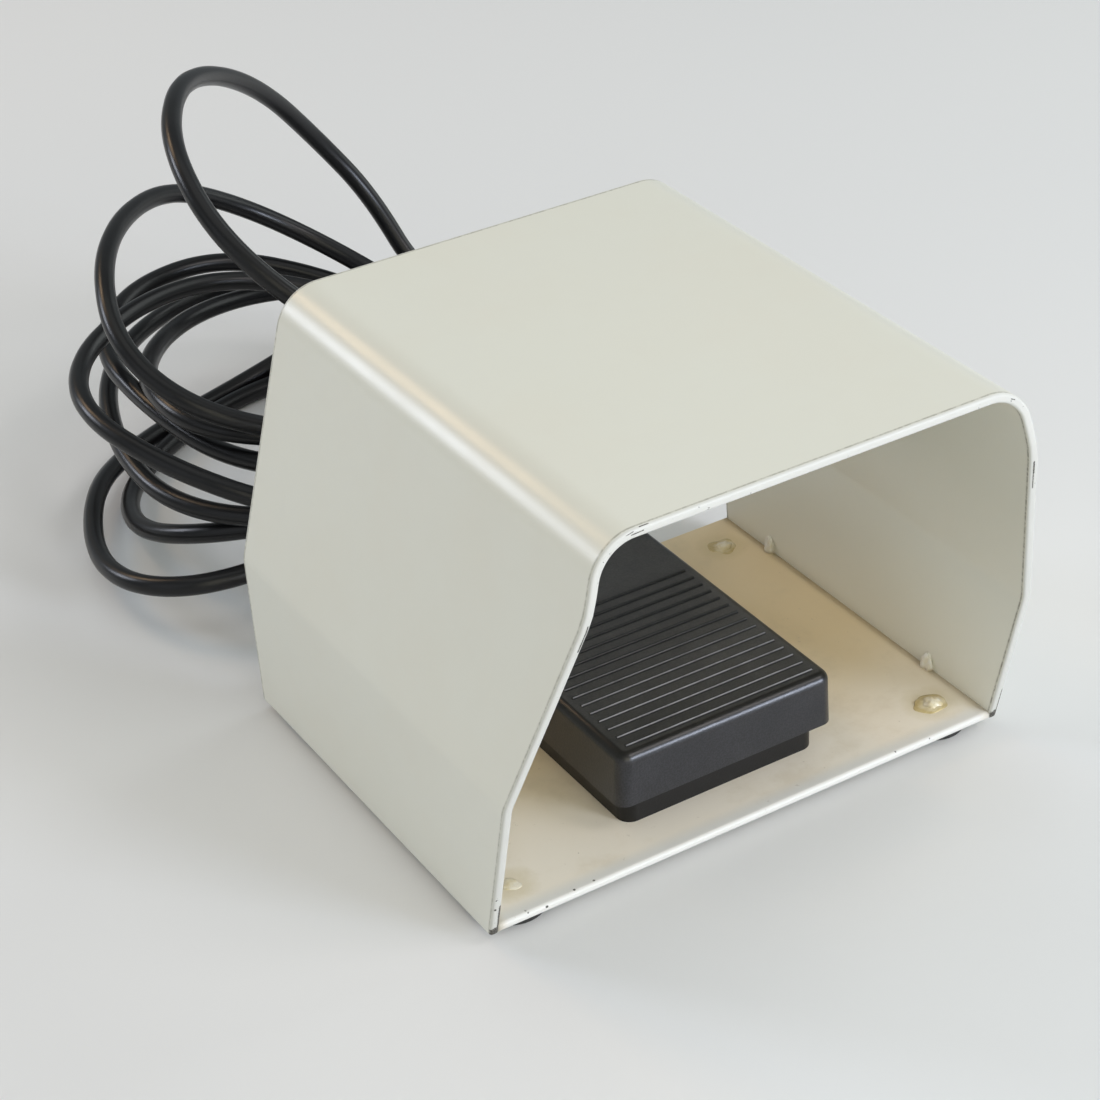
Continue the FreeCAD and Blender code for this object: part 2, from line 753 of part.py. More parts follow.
def pivotAlong():
    return "(caseFront + pivotReach)"


def touchAlong():
    return "(caseFront + pivotReach + leverTouch)"


def switchCase():
    body = newBody("switch_case")
    block = sketchOn(body, "YZ", "caseBlock", out="-caseHalf")
    rectangle(block, "caseFront", "caseFront + caseLength", "baseFloor + caseFoot", caseTop())
    pad(body, block, "2 * caseHalf - lidThick")
    for side, sign in (("Right", ""), ("Left", "-")):
        start = sign + "(leverHalf + earGap)"
        ear = sketchOn(body, "YZ", "caseEar" + side, out=start)
        rectangle(ear, pivotAlong() + " - 1.1", pivotAlong() + " + 1.1", caseTop() + " - 0.5",
                  caseTop() + " + pivotHeight + 0.9")
        pad(body, ear, "earThick", back=bool(sign))
    holes = sketchOn(body, "YZ", "caseHoles", out="-caseHalf - 0.5")
    for i in (0, 1):
        circle(holes, caseHoleAlong(i), caseHoleHeight(), "caseHoleRadius")
    pocket(body, holes, "4 * caseHalf", back=True)
    eyes = sketchOn(body, "YZ", "earEyes", out="-caseHalf")
    circle(eyes, pivotAlong(), caseTop() + " + pivotHeight", "trunnionRadius + runningGap")
    pocket(body, eyes, "2 * caseHalf", back=True)
    well = sketchOn(body, "XY", "plungerWell", out=caseTop())
    circle(well, "0", pivotAlong() + " + plungerReach", "plungerRadius + runningGap")
    pocket(body, well, "plungerLength - plungerProud + plungerRoom")
    finish("switch_case", body, pedalPlace())


def switchLid():
    body = newBody("switch_lid")
    plate = sketchOn(body, "YZ", "lidPlate", out="caseHalf - lidThick")
    rectangle(plate, "caseFront", "caseFront + caseLength", "baseFloor + caseFoot", caseTop())
    pad(body, plate, "lidThick")
    holes = sketchOn(body, "YZ", "lidHoles", out="caseHalf - lidThick - 0.5")
    for i in (0, 1):
        circle(holes, caseHoleAlong(i), caseHoleHeight(), "caseHoleRadius")
    pocket(body, holes, "lidThick + 1", back=True)
    finish("switch_lid", body, pedalPlace())


def switchPlunger():
    body = newBody("switch_plunger")
    disc = sketchOn(body, "XY", "plungerDisc", out=caseTop() + " + plungerProud - plungerLength")
    circle(disc, "0", pivotAlong() + " + plungerReach", "plungerRadius")
    pad(body, disc, "plungerLength")
    top = value(caseTop() + " + plungerProud")
    dress("Fillet", body, lambda e: near(e.BoundBox.ZMin, top), "plungerRadius * 0.4")
    finish("switch_plunger", body, pedalPlace())


def switchLever():
    """Sheet lever with a rolled end and trunnions, made flat about its pivot."""
    body = newBody("switch_lever")
    strip = sketchOn(body, "YZ", "leverStrip")
    rectangle(strip, "0", "leverLength", "-leverThick / 2", "leverThick / 2")
    pad(body, strip, "2 * leverHalf", both=True)
    curl = sketchOn(body, "YZ", "leverCurlDisc")
    circle(curl, "0", "0", "leverCurl")
    pad(body, curl, "2 * leverHalf", both=True)
    trunnion = sketchOn(body, "YZ", "leverTrunnion")
    circle(trunnion, "0", "0", "trunnionRadius")
    pad(body, trunnion, "2 * (leverHalf + earGap + earThick)", both=True)
    pivot = Vector(0, value(pivotAlong()), value(caseTop() + " + pivotHeight"))
    raised = Placement(pivot, Rotation(Vector(1, 0, 0), value("leverRise")))
    finish("switch_lever", body, pedalPlace() * raised)


def switchScrews():
    body = newBody("switchScrewSeed")
    profile = sketchOn(body, "XY", "switchScrewProfile", u="0", v="0")
    reach = "2 * caseHalf + postThick - 0.4"
    polygon(profile, [
        ("0", "0"), ("caseHeadRadius", "0"), ("caseHeadRadius", "caseHeadHeight * 0.6"),
        ("caseHeadRadius * 0.6", "caseHeadHeight"), ("0", "caseHeadHeight")])
    turn(body, profile)
    shank = sketchOn(body, "XY", "switchShank")
    rectangle(shank, "0", "caseScrewRadius", "-(%s)" % reach, "0")
    turn(body, shank)
    body.Placement = Placement(
        Vector(value("-caseHalf"), value(caseHoleAlong(0)), value(caseHoleHeight())), Rotation(Vector(0, 0, 1), 90))
    group = mirrored("switch_screws", body, "y", "caseFront + caseLength / 2")
    finish("switch_screws", group, pedalPlace())


def tabHeight(i):
    low = "baseFloor + caseFoot + tabLow"
    return low if i == 0 else low + " + tabPitch"


def switchTerminals():
    """Two push-on tabs that stand out of the case's rear face."""
    tabs = []
    for i in (0, 1):
        body = newBody("terminal%d" % i)
        blade = sketchOn(body, "XZ", "blade%d" % i, out="-(caseFront + caseLength)")
        low = tabHeight(i) + " - tabWidth / 2"
        rectangle(blade, "-tabThick / 2", "tabThick / 2", low, low + " + tabWidth")
        pad(body, blade, "tabLength", back=True)
        tabs.append(body)
    group = doc.addObject("Part::Compound", "switch_terminals")
    group.Links = tabs
    finish("switch_terminals", group, pedalPlace())


def crimpReceptacles():
    """Push-on sleeves on the tabs."""
    sleeves = []
    for i in (0, 1):
        body = newBody("receptacle%d" % i)
        start = "caseFront + caseLength + sleeveStart"
        outside = sketchOn(body, "XZ", "sleeveOutside%d" % i, out="-(%s)" % start)
        half = "(tabThick / 2 + sleeveWall)"
        low = tabHeight(i) + " - tabWidth / 2 - sleeveWall"
        rectangle(outside, "-" + half, half, low, low + " + tabWidth + 2 * sleeveWall")
        pad(body, outside, "sleeveLength", back=True)
        inside = sketchOn(body, "XZ", "sleeveInside%d" % i, out="-(%s)" % start)
        thin = "(tabThick / 2 + seatGap)"
        lowIn = tabHeight(i) + " - tabWidth / 2 - seatGap"
        rectangle(inside, "-" + thin, thin, lowIn, lowIn + " + tabWidth + 2 * seatGap")
        pocket(body, inside, "tabLength - sleeveStart + seatGap")
        sleeves.append(body)
    group = doc.addObject("Part::Compound", "crimp_receptacles")
    group.Links = sleeves
    finish("crimp_receptacles", group, pedalPlace())


# Actuator screw, lock nut and fixings

def actuatorScrew():
    """Screw in the treadle's boss whose round tip presses the switch's lever."""
    body = newBody("actuator_screw")
    profile = sketchOn(body, "XZ", "actuatorProfile", out="-" + touchAlong())
    rise = "(leverTouch * tan(leverRise * 1deg) + leverThick / 2 / cos(leverRise * 1deg))"
    tip = "(%s + pivotHeight + %s + actuatorGap)" % (caseTop(), rise)
    high = "(treadleTop - treadleShell + actuatorSink)"
    polygon(profile, [
        ("0", tip), ("actuatorRadius * 0.5", tip + " + 0.08"), ("actuatorRadius", tip + " + 0.5"),
        ("actuatorRadius", high), ("0", high)])
    turn(body, profile)
    finish("actuator_screw", body, pedalPlace())


def lockNut():
    body = newBody("lock_nut")
    seat = "treadleTop - treadleShell - bossDrop"
    outline = sketchOn(body, "XY", "nutOutline", out=seat)
    hexagon(outline, "0", touchAlong(), "nutAcross")
    pad(body, outline, "nutThick", back=True)
    bore = sketchOn(body, "XY", "nutBore", out=seat)
    circle(bore, "0", touchAlong(), "actuatorRadius + seatGap")
    pocket(body, bore, "nutThick")
    finish("lock_nut", body, pedalPlace())


def fourFixings(name, seed):
    """Copies of a seed at the four places where the pedal is held down."""
    row = mirrored(name + "Row", seed, "x")
    group = mirrored(name, row, "y", "fixFront + fixSpan / 2")
    finish(name, group, pedalPlace())


def pedalScrews():
    body = newBody("pedalScrewSeed")
    profile = sketchOn(body, "XZ", "pedalScrewProfile", u="fixAcross", out="-fixFront")
    under = "-plateWall"
    end = "baseFloor + fixNutThick + fixProud"
    polygon(profile, [
        ("0", end), ("fixRadius", end), ("fixRadius", under), ("fixHeadRadius", under),
        ("fixHeadRadius", under + " - fixHeadHeight * 0.4"), ("fixHeadRadius * 0.6", under + " - fixHeadHeight"),
        ("0", under + " - fixHeadHeight")])
    turn(body, profile)
    fourFixings("pedal_screws", body)


def pedalNuts():
    body = newBody("pedalNutSeed")
    outline = sketchOn(body, "XY", "pedalNutOutline", out="baseFloor")
    hexagon(outline, "fixAcross", "fixFront", "fixNutAcross")
    pad(body, outline, "fixNutThick")
    bore = sketchOn(body, "XY", "pedalNutBore", out="baseFloor")
    circle(bore, "fixAcross", "fixFront", "fixRadius + seatGap")
    pocket(body, bore, "fixNutThick", back=True)
    fourFixings("pedal_nuts", body)


# Cord entry

def innerCord():
    """The cord's sheath inside the base, from the gland to where it is stripped."""
    body = newBody("inner_cord")
    section = sketchOn(body, "XZ", "innerCordSection", out="-sheathFront")
    circle(section, "0", "glandHeight", "cordRadius")
    pad(body, section, "baseRear - baseWall - flangeThick - sheathFront", back=True)
    finish("inner_cord", body, pedalPlace())


def coreWires():
    """Two insulated cores from the stripped end to the push-on sleeves."""
    wires = []
    for i, side in ((0, -1), (1, 1)):
        start = Vector(0, value("caseFront + caseLength + sleeveStart + sleeveLength"), value(tabHeight(i)))
        end = Vector(side * value("wireSpread"), value("sheathFront"), value("glandHeight"))
        third = (end.y - start.y) / 3
        route = [start, start + Vector(0, third, 0), end - Vector(0, third, 0), end]
        wires.append(tube(route, value("wireRadius"))[0])
    group = doc.addObject("Part::Feature", "core_wires")
    group.Shape = Part.makeCompound(wires)
    finish("core_wires", group, pedalPlace())


def cableClamp():
    body = newBody("cable_clamp")
    seat = "glandHeight + cordRadius"
    outline = sketchOn(body, "XY", "clampOutline", out=seat)
    rectangle(outline, "-clampHalf", "clampHalf", "clampAlong - clampDepth / 2", "clampAlong + clampDepth / 2")
    pad(body, outline, "clampThick")
    dress("Fillet", body, lambda e: along(e, "z"), "clampDepth / 3")
    holes = sketchOn(body, "XY", "clampHoles", out=seat)
    for across in ("clampAcross", "-clampAcross"):
        circle(holes, across, "clampAlong", "clampScrewRadius + 0.1")
    pocket(body, holes, "clampThick", back=True)
    finish("cable_clamp", body, pedalPlace())


def clampScrews():
    body = newBody("clampScrewSeed")
    profile = sketchOn(body, "XZ", "clampScrewProfile", u="clampAcross", out="-clampAlong")
    seat = "glandHeight + cordRadius + clampThick"
    polygon(profile, [
        ("0", seat + " + clampHeadHeight"), ("clampHeadRadius * 0.6", seat + " + clampHeadHeight"),
        ("clampHeadRadius", seat + " + clampHeadHeight * 0.5"), ("clampHeadRadius", seat),
        ("clampScrewRadius", seat), ("clampScrewRadius", seat + " - clampThick - clampBite + 0.5"),
        ("0", seat + " - clampThick - clampBite + 0.5")])
    turn(body, profile)
    group = mirrored("clamp_screws", body, "x")
    finish("clamp_screws", group, pedalPlace())


def strainRelief():
    """Moulded bend protector: a grooved neck in the wall and a ringed taper outside."""
    body = newBody("strain_relief")
    profile = sketchOn(body, "XY", "reliefProfile", out="glandHeight")
    inner = "baseRear - baseWall - flangeThick"
    wallIn = "baseRear - baseWall"
    wallOut = "baseRear"
    shoulder = "baseRear + flangeThick"
    taper = "(sleeveBig - sleeveSmall) / (reliefLength - flangeThick)"
    points = [
        ("0", inner), ("flangeRadius", inner), ("flangeRadius", wallIn), ("neckRadius", wallIn),
        ("neckRadius", wallOut), ("flangeRadius", wallOut), ("flangeRadius", shoulder), ("sleeveBig", shoulder)]
    rings = int(value("reliefGrooves"))
    for i in range(rings):
        at = "((reliefLength - flangeThick) * %.4f)" % ((i + 0.45) / rings)
        radius = "sleeveBig - %s * %s" % (at, taper)
        points.append((radius, shoulder + " + " + at))
        points.append((radius + " - grooveDepth", shoulder + " + " + at))
        points.append((radius + " - grooveDepth", shoulder + " + " + at + " + grooveWidth"))
        points.append((radius, shoulder + " + " + at + " + grooveWidth"))
    points.append(("sleeveSmall", "baseRear + reliefLength"))
    points.append(("0", "baseRear + reliefLength"))
    polygon(profile, points)
    turn(body, profile)
    finish("strain_relief", body, pedalPlace())


# Cord: straight runs joined by tangent arcs

def tube(route, radius):
    """A round tube along a route, with its length and the radii of its bends."""
    edges = []
    radii = []
    last = route[0]
    for before, corner, after in zip(route, route[1:], route[2:]):
        way = (corner - before).normalize()
        onward = (after - corner).normalize()
        half = way.getAngle(onward) / 2
        cut = 0.45 * min((corner - before).Length, (after - corner).Length)
        radii.append(cut / math.tan(half))
        start = corner - way * cut
        end = corner + onward * cut
        bisector = (onward - way).normalize()
        middle = corner + bisector * (radii[-1] * (1 / math.cos(half) - 1))
        edges.append(Part.LineSegment(last, start).toShape())
        edges.append(Part.Arc(start, middle, end).toShape())
        last = end
    edges.append(Part.LineSegment(last, route[-1]).toShape())
    wire = Part.Wire(edges)
    ring = Part.Wire(Part.Circle(route[0], route[1] - route[0], radius).toShape())
    solid = wire.makePipe(Part.Face(ring))
    expected = math.pi * radius ** 2 * wire.Length
    if abs(solid.Volume / expected - 1) > 0.02:
        raise RuntimeError("a cord's tube has the wrong volume")
    return solid, wire.Length, radii


def cordPart(name, route):
    solid, length, radii = tube([Vector(*point) for point in route], value("cordRadius"))
    print("%s: length %.0f mm, bend radii %s" % (name, length, " ".join("%.0f" % r for r in radii)))
    part = doc.addObject("Part::Feature", name)
    part.Shape = solid
    finish(name, part, guardPlace())


# Cord's points are in the guard's frame, chosen by hand along the visible lead.
LEAD_ROUTE = [
    (0, 134.4, 12.5), (0, 152, 12.5), (-14, 165, 14), (-36, 165, 17),
    (-58.9, 160.5, 15.1), (-81.6, 167.3, 13.3), (-93, 186.2, 10.1), (-90.8, 212.8, 6.9),
    (-77, 242.7, 7.9), (-55.5, 265.7, 3.2), (-28.9, 281.6, 0.1), (-15.1, 285.85, 0.35)]
# The coil's turns in the order of the cord, each from its right side towards the front and round.
COIL_TURNS = [
    [
        (-1.3, 290.1, 0.6), (23.2, 290.5, 7.2), (42.2, 276.9, 7.5), (50.3, 249.1, 7.2),
        (44.5, 214.7, 9.9), (25.2, 184.1, 16), (-4.9, 165.1, 22.5), (-39.3, 164.1, 23.9),
        (-66.4, 183.2, 17.9), (-76, 213.7, 7.1), (-65.3, 246.1, 1.4), (-37.3, 270, 0.6),
        (-2.7, 283.4, 0.7), (32.8, 283.3, 0.5), (60.1, 264.8, 0.1)],
    [
        (68.3, 233.1, 1.2), (55.6, 201.8, 7.2), (29.5, 179.8, 19.6), (-3.1, 170.1, 34.5),
        (-37, 173.5, 45.2), (-62, 191.9, 48.1), (-63.4, 223.5, 48.9), (-46.7, 254.8, 43.6),
        (-19.6, 279.7, 37.3), (13.5, 291.2, 30.1), (44, 284.8, 23.7), (57.1, 258.5, 14.7)],
    [
        (51.9, 223.6, 12.6), (38.7, 189.1, 22.5), (17.1, 161.6, 33.4), (-16.6, 151.3, 33.3),
        (-50.8, 162.7, 27.3), (-71.5, 192.5, 25), (-72.1, 228.9, 26.1), (-60.7, 265.3, 30.4),
        (-36, 292.8, 30.1), (-3.4, 307.8, 28.2), (27.6, 303.1, 22.1), (45.5, 276.8, 14.2)],
    [
        (49.1, 241, 14.7), (41.2, 205.3, 23.4), (22.6, 174.7, 34.2), (-5.6, 156.1, 40.6),
        (-36.4, 160, 40.7), (-56.2, 187, 38.9), (-62.9, 225, 41.4), (-61.6, 262.7, 43.3),
        (-40, 289.5, 46.3), (-4, 295.6, 46), (28.1, 279.4, 34.9), (50.6, 248.8, 23.4)],
    [
        (58.7, 211.7, 16.8), (47, 177.2, 15), (18.3, 153.7, 18.6), (-18.4, 145.6, 26.7),
        (-53.8, 154.2, 37.1), (-78.5, 179, 48.1), (-88.4, 213.4, 53.4), (-74.4, 245.2, 53.7),
        (-42, 265.8, 54.6), (-7.9, 272.1, 49.3), (24.6, 258.1, 37.7), (47.9, 229.7, 27.1)],
    [
        (52, 196, 20.5), (31.1, 170.8, 19.9), (-1.7, 162.6, 31.3), (-35.8, 167, 48.6),
        (-66.3, 179.9, 60.9), (-77.4, 204.1, 73.8), (-68.1, 234.3, 84.5), (-48, 263.2, 85.5),
        (-21.6, 285.9, 78.6), (6.1, 294, 61.6), (31.4, 282.4, 43.6), (47.5, 254.2, 31.2)],
    [
        (53.9, 218.9, 30.7), (45.4, 184.9, 38.5), (22.8, 160.2, 52.1), (-7.4, 150.9, 70),
        (-35.7, 159, 90.6), (-52.2, 182.1, 110.9), (-50.2, 213.3, 125.9), (-33.6, 244.3, 129.6),
        (-10.3, 270.1, 120.2), (14.9, 288.2, 101.7), (36, 296, 76.2), (51.3, 291, 54),
        (58.7, 273.5, 27.6), (79.1, 248.2, 11.7)],
]
TAIL_ROUTE = [
    (90.55, 237, 8.75), (102, 225.8, 5.8), (114, 211, 3.9), (123, 194, 3.9),
    (129, 175, 3.9)]


def plugPlace():
    """Where the tail ends, with local Y along its last run."""
    end = Vector(*TAIL_ROUTE[-1])
    way = end - Vector(*TAIL_ROUTE[-2])
    return guardPlace() * Placement(end, Rotation(Vector(0, 1, 0), way))


def plugBody():
    """Moulded grip with a tapered sleeve round the cord."""
    body = newBody("plug_body")
    sleeve = sketchOn(body, "XY", "plugSleeveProfile")
    polygon(sleeve, [
        ("0", "0"), ("sleeveSmall", "0"), ("plugSleeveRadius", "plugSleeve"), ("plugSleeveRadius", "plugSleeve + 5"),
        ("0", "plugSleeve + 5")])
    turn(body, sleeve)
    grip = sketchOn(body, "XZ", "plugGrip", out="-plugSleeve")
    rectangle(grip, "-plugHalf", "plugHalf", "-plugThick / 2", "plugThick / 2")
    pad(body, grip, "plugLength", back=True)
    dress("Fillet", body, lambda e: along(e, "y") and abs(e.CenterOfMass.x) > value("plugHalf") - 0.1,
          "plugThick * 0.45")
    rear = value("plugSleeve")
    dress("Fillet", body, lambda e: near(e.BoundBox.YMin, rear) and near(e.BoundBox.YMax, rear)
          and e.BoundBox.XLength > 0.1 and abs(e.CenterOfMass.z) > 1, "plugEdge")
    finish("plug_body", body, plugPlace())


def plugPins():
    body = newBody("pinSeed")
    disc = sketchOn(body, "XZ", "pinDisc", u="prongPitch / 2", out="-plugSleeve - plugLength")
    circle(disc, "0", "0", "prongRadius")
    pad(body, disc, "prongLength", back=True)
    tip = value("plugSleeve + plugLength + prongLength")
    dress("Fillet", body, lambda e: near(e.BoundBox.YMin, tip), "prongRadius * 0.7")
    group = mirrored("plug_pins", body, "x")
    finish("plug_pins", group, plugPlace())


def build():
    guardHood()
    basePlate()
    tackWelds()
    rubberFeet()
    footScrews()
    glueBlobs()
    switchBase()
    treadle()
    hingePin()
    returnSprings()
    switchCase()
    switchLid()
    switchPlunger()
    switchLever()
    switchScrews()
    switchTerminals()
    crimpReceptacles()
    actuatorScrew()
    lockNut()
    pedalScrews()
    pedalNuts()
    innerCord()
    coreWires()
    cableClamp()
    clampScrews()
    strainRelief()
    cordPart("cord_lead", LEAD_ROUTE)
    cordPart("cord_coil", [LEAD_ROUTE[-1]] + sum(COIL_TURNS, []) + [TAIL_ROUTE[0]])
    cordPart("cord_tail", TAIL_ROUTE)
    plugBody()
    plugPins()


def export():
    """Check every object, then write each sub-part to its own file."""
    doc.recompute()
    for thing in doc.Objects:
        if "Invalid" in thing.State or "Error" in thing.State:
            raise RuntimeError("failed: " + thing.Name)
    os.makedirs("parts", exist_ok=True)
    for name, thing in parts:
        shape = thing.Shape
        if shape.isNull() or not shape.isValid():
            raise RuntimeError("no valid solid: " + name)
    for name, thing in parts:
        thing.Shape.exportStep("parts/%s.step" % name)


build()
export()
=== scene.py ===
# Sewing machine pedal: a ribbed treadle under a bent sheet-metal foot guard, with a loosely coiled lead.
# Metres, +Z up. The open front looks towards -Y, X runs to the right and the floor is at z = 0.
import math

import bmesh
import bpy
import numpy as np
from mathutils import Matrix, Vector


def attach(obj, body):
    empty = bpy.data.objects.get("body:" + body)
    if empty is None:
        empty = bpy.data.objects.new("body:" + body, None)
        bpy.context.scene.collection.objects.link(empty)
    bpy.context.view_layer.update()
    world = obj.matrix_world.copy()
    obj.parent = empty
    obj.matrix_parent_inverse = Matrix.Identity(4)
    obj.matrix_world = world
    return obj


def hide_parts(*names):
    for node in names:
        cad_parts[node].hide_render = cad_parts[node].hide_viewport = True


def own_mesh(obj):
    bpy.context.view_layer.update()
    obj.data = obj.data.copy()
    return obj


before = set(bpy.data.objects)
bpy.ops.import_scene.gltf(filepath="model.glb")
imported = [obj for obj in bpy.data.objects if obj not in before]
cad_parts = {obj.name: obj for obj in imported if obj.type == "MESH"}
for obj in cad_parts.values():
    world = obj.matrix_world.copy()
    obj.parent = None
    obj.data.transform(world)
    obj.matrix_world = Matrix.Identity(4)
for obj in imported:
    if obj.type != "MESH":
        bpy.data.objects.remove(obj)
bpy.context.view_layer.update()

print("frame loaded:", len(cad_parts), "nodes")


# Meshes from arrays

def linkPiece(name, data):
    piece = bpy.data.objects.new(name, data)
    bpy.context.scene.collection.objects.link(piece)
    return piece


def meshFromArrays(name, points, faces, smooth=True):
    # faces is a list of arrays, each with one row of corner numbers per face
    mesh = bpy.data.meshes.new(name)
    corners = np.concatenate([block.ravel() for block in faces]).astype(np.int32)
    sizes = np.concatenate([np.full(len(block), block.shape[1]) for block in faces]).astype(np.int32)
    starts = np.concatenate([[0], np.cumsum(sizes)[:-1]]).astype(np.int32)
    mesh.vertices.add(len(points))
    mesh.vertices.foreach_set("co", np.asarray(points, np.float32).ravel())
    mesh.loops.add(len(corners))
    mesh.loops.foreach_set("vertex_index", corners)
    mesh.polygons.add(len(sizes))
    mesh.polygons.foreach_set("loop_start", starts)
    mesh.polygons.foreach_set("loop_total", sizes)
    mesh.update(calc_edges=True)
    mesh.polygons.foreach_set("use_smooth", np.full(len(sizes), smooth))
    mesh.validate()
    return mesh


def gridFaces(rows, columns):
    # four corners for each cell of a rows x columns grid whose last column joins the first
    i = np.arange(rows - 1)[:, None]
    j = np.arange(columns)[None, :]
    k = (j + 1) % columns
    cells = np.stack([i * columns + j, i * columns + k, (i + 1) * columns + k, (i + 1) * columns + j], -1)
    return cells.reshape(-1, 4)


def endFaces(rows, columns):
    # one face over each open end of such a grid, wound as its cells are
    ring = np.arange(columns)[None, :]
    return [ring[:, ::-1], ring + (rows - 1) * columns]


def endStrips(rows, columns, facing):
    # the same ends as strips of faces, where points of a ring whose numbers add up to facing look at each other
    near = np.arange((facing + 1 - columns) // 2, (facing + 1) // 2)
    far = (facing - near) % columns
    near = near % columns
    strip = np.stack([near[:-1], far[:-1], far[1:], near[1:]], -1)
    return [strip, strip[:, ::-1] + (rows - 1) * columns]


def pointOutwards(mesh):
    # volume under the faces is positive when they look outwards
    work = bmesh.new()
    work.from_mesh(mesh)
    if work.calc_volume(signed=True) < 0:
        bmesh.ops.reverse_faces(work, faces=work.faces)
        work.to_mesh(mesh)
    work.free()
    mesh.update()


def setAttribute(mesh, name, values):
    layer = mesh.attributes.new(name, "FLOAT", "POINT")
    layer.data.foreach_set("value", np.asarray(values, np.float32).ravel())


def blob(middle, reach, turns=48, rings=24, lumps=0.12, seed=0.0):
    # a lumpy ball: reach times the unit direction, times one plus a sum of three slow waves
    around = np.linspace(0, 2 * math.pi, turns, endpoint=False)[None, :]
    down = np.linspace(0, math.pi, rings + 2)[1:-1, None]
    wave = (np.sin(3 * around + 2.1 * seed) * np.sin(2 * down + seed)
            + 0.7 * np.sin(5 * around - 1.3 * seed) * np.sin(4 * down + 2 * seed)
            + 0.5 * np.cos(2 * around + 3.7 * seed) * np.sin(3 * down))
    size = 1 + lumps * wave * np.sin(down)
    unit = np.stack([np.sin(down) * np.cos(around), np.sin(down) * np.sin(around), np.cos(down) + 0 * around], -1)
    shell = (np.asarray(middle) + unit * size[..., None] * np.asarray(reach)).reshape(-1, 3)
    ends = np.asarray(middle) + np.array([[0, 0, 1], [0, 0, -1]]) * np.asarray(reach)
    points = np.concatenate([shell, ends])
    ring = np.arange(turns)
    onward = (ring + 1) % turns
    top, low, last = len(shell), len(shell) + 1, (rings - 1) * turns
    caps = np.concatenate([np.stack([np.full(turns, top), onward, ring], -1),
                           np.stack([np.full(turns, low), last + ring, last + onward], -1)])
    return points, gridFaces(rings, turns), caps


def blobPiece(name, blobs):
    points, quads, caps, count = [], [], [], 0
    for spots, cells, ends in blobs:
        points.append(spots)
        quads.append(cells + count)
        caps.append(ends + count)
        count += len(spots)
    mesh = meshFromArrays(name, np.concatenate(points), [np.concatenate(quads), np.concatenate(caps)])
    pointOutwards(mesh)
    return linkPiece(name, mesh)


# Shader building blocks

def newGroup(name, inputs, outputs):
    group = bpy.data.node_groups.new(name, "ShaderNodeTree")
    for label, kind, default in inputs:
        socket = group.interface.new_socket(name=label, in_out="INPUT", socket_type=kind)
        if default is not None:
            socket.default_value = default
    for label, kind in outputs:
        group.interface.new_socket(name=label, in_out="OUTPUT", socket_type=kind)
    return group


class Nodes:
    # short way to add and join nodes in one tree

    def __init__(self, tree):
        self.tree = tree

    def add(self, kind, inputs=None, **settings):
        node = self.tree.nodes.new("ShaderNode" + kind)
        for name, setting in settings.items():
            setattr(node, name, setting)
        for name, source in (inputs or {}).items():
            self.feed(node.inputs[name], source)
        return node

    def feed(self, socket, source):
        if isinstance(source, bpy.types.NodeSocket):
            self.tree.links.new(source, socket)
        else:
            socket.default_value = source

    def group(self, group, inputs=None):
        node = self.tree.nodes.new("ShaderNodeGroup")
        node.node_tree = group
        for name, source in (inputs or {}).items():
            self.feed(node.inputs[name], source)
        return node

    def math(self, operation, a, b=0.0):
        return self.add("Math", {0: a, 1: b}, operation=operation).outputs[0]

    def noise(self, vector, scale, detail=3.0, roughness=0.5):
        return self.add("TexNoise", {"Vector": vector, "Scale": scale, "Detail": detail, "Roughness": roughness})

    def span(self, value, low, high, toLow=0.0, toHigh=1.0):
        # the value carried smoothly from one range to another
        node = self.add("MapRange", {"Value": value, "From Min": low, "From Max": high,
                                     "To Min": toLow, "To Max": toHigh})
        node.interpolation_type = "SMOOTHSTEP"
        return node.outputs[0]

    def mix(self, factor, a, b):
        node = self.add("Mix", data_type="RGBA")
        self.feed(node.inputs[0], factor)
        self.feed(node.inputs[6], a)
        self.feed(node.inputs[7], b)
        return node.outputs[2]


def makeGrain():
    # fine moulded or sprayed grain over slow waves, as a height from 0 to 1
    group = newGroup("surfaceGrain", [
        ("Vector", "NodeSocketVector", None), ("Grain Scale", "NodeSocketFloat", 2500.0),
        ("Wave Scale", "NodeSocketFloat", 60.0), ("Wave Share", "NodeSocketFloat", 0.3)],
        [("Height", "NodeSocketFloat")])
    n = Nodes(group)
    given = group.nodes.new("NodeGroupInput").outputs
    fine = n.noise(given["Vector"], given["Grain Scale"], 2.0).outputs[0]
    slow = n.noise(given["Vector"], given["Wave Scale"], 1.0).outputs[0]
    share = n.math("MULTIPLY", n.math("SUBTRACT", slow, fine), given["Wave Share"])
    n.feed(group.nodes.new("NodeGroupOutput").inputs["Height"], n.math("ADD", fine, share))
    return group


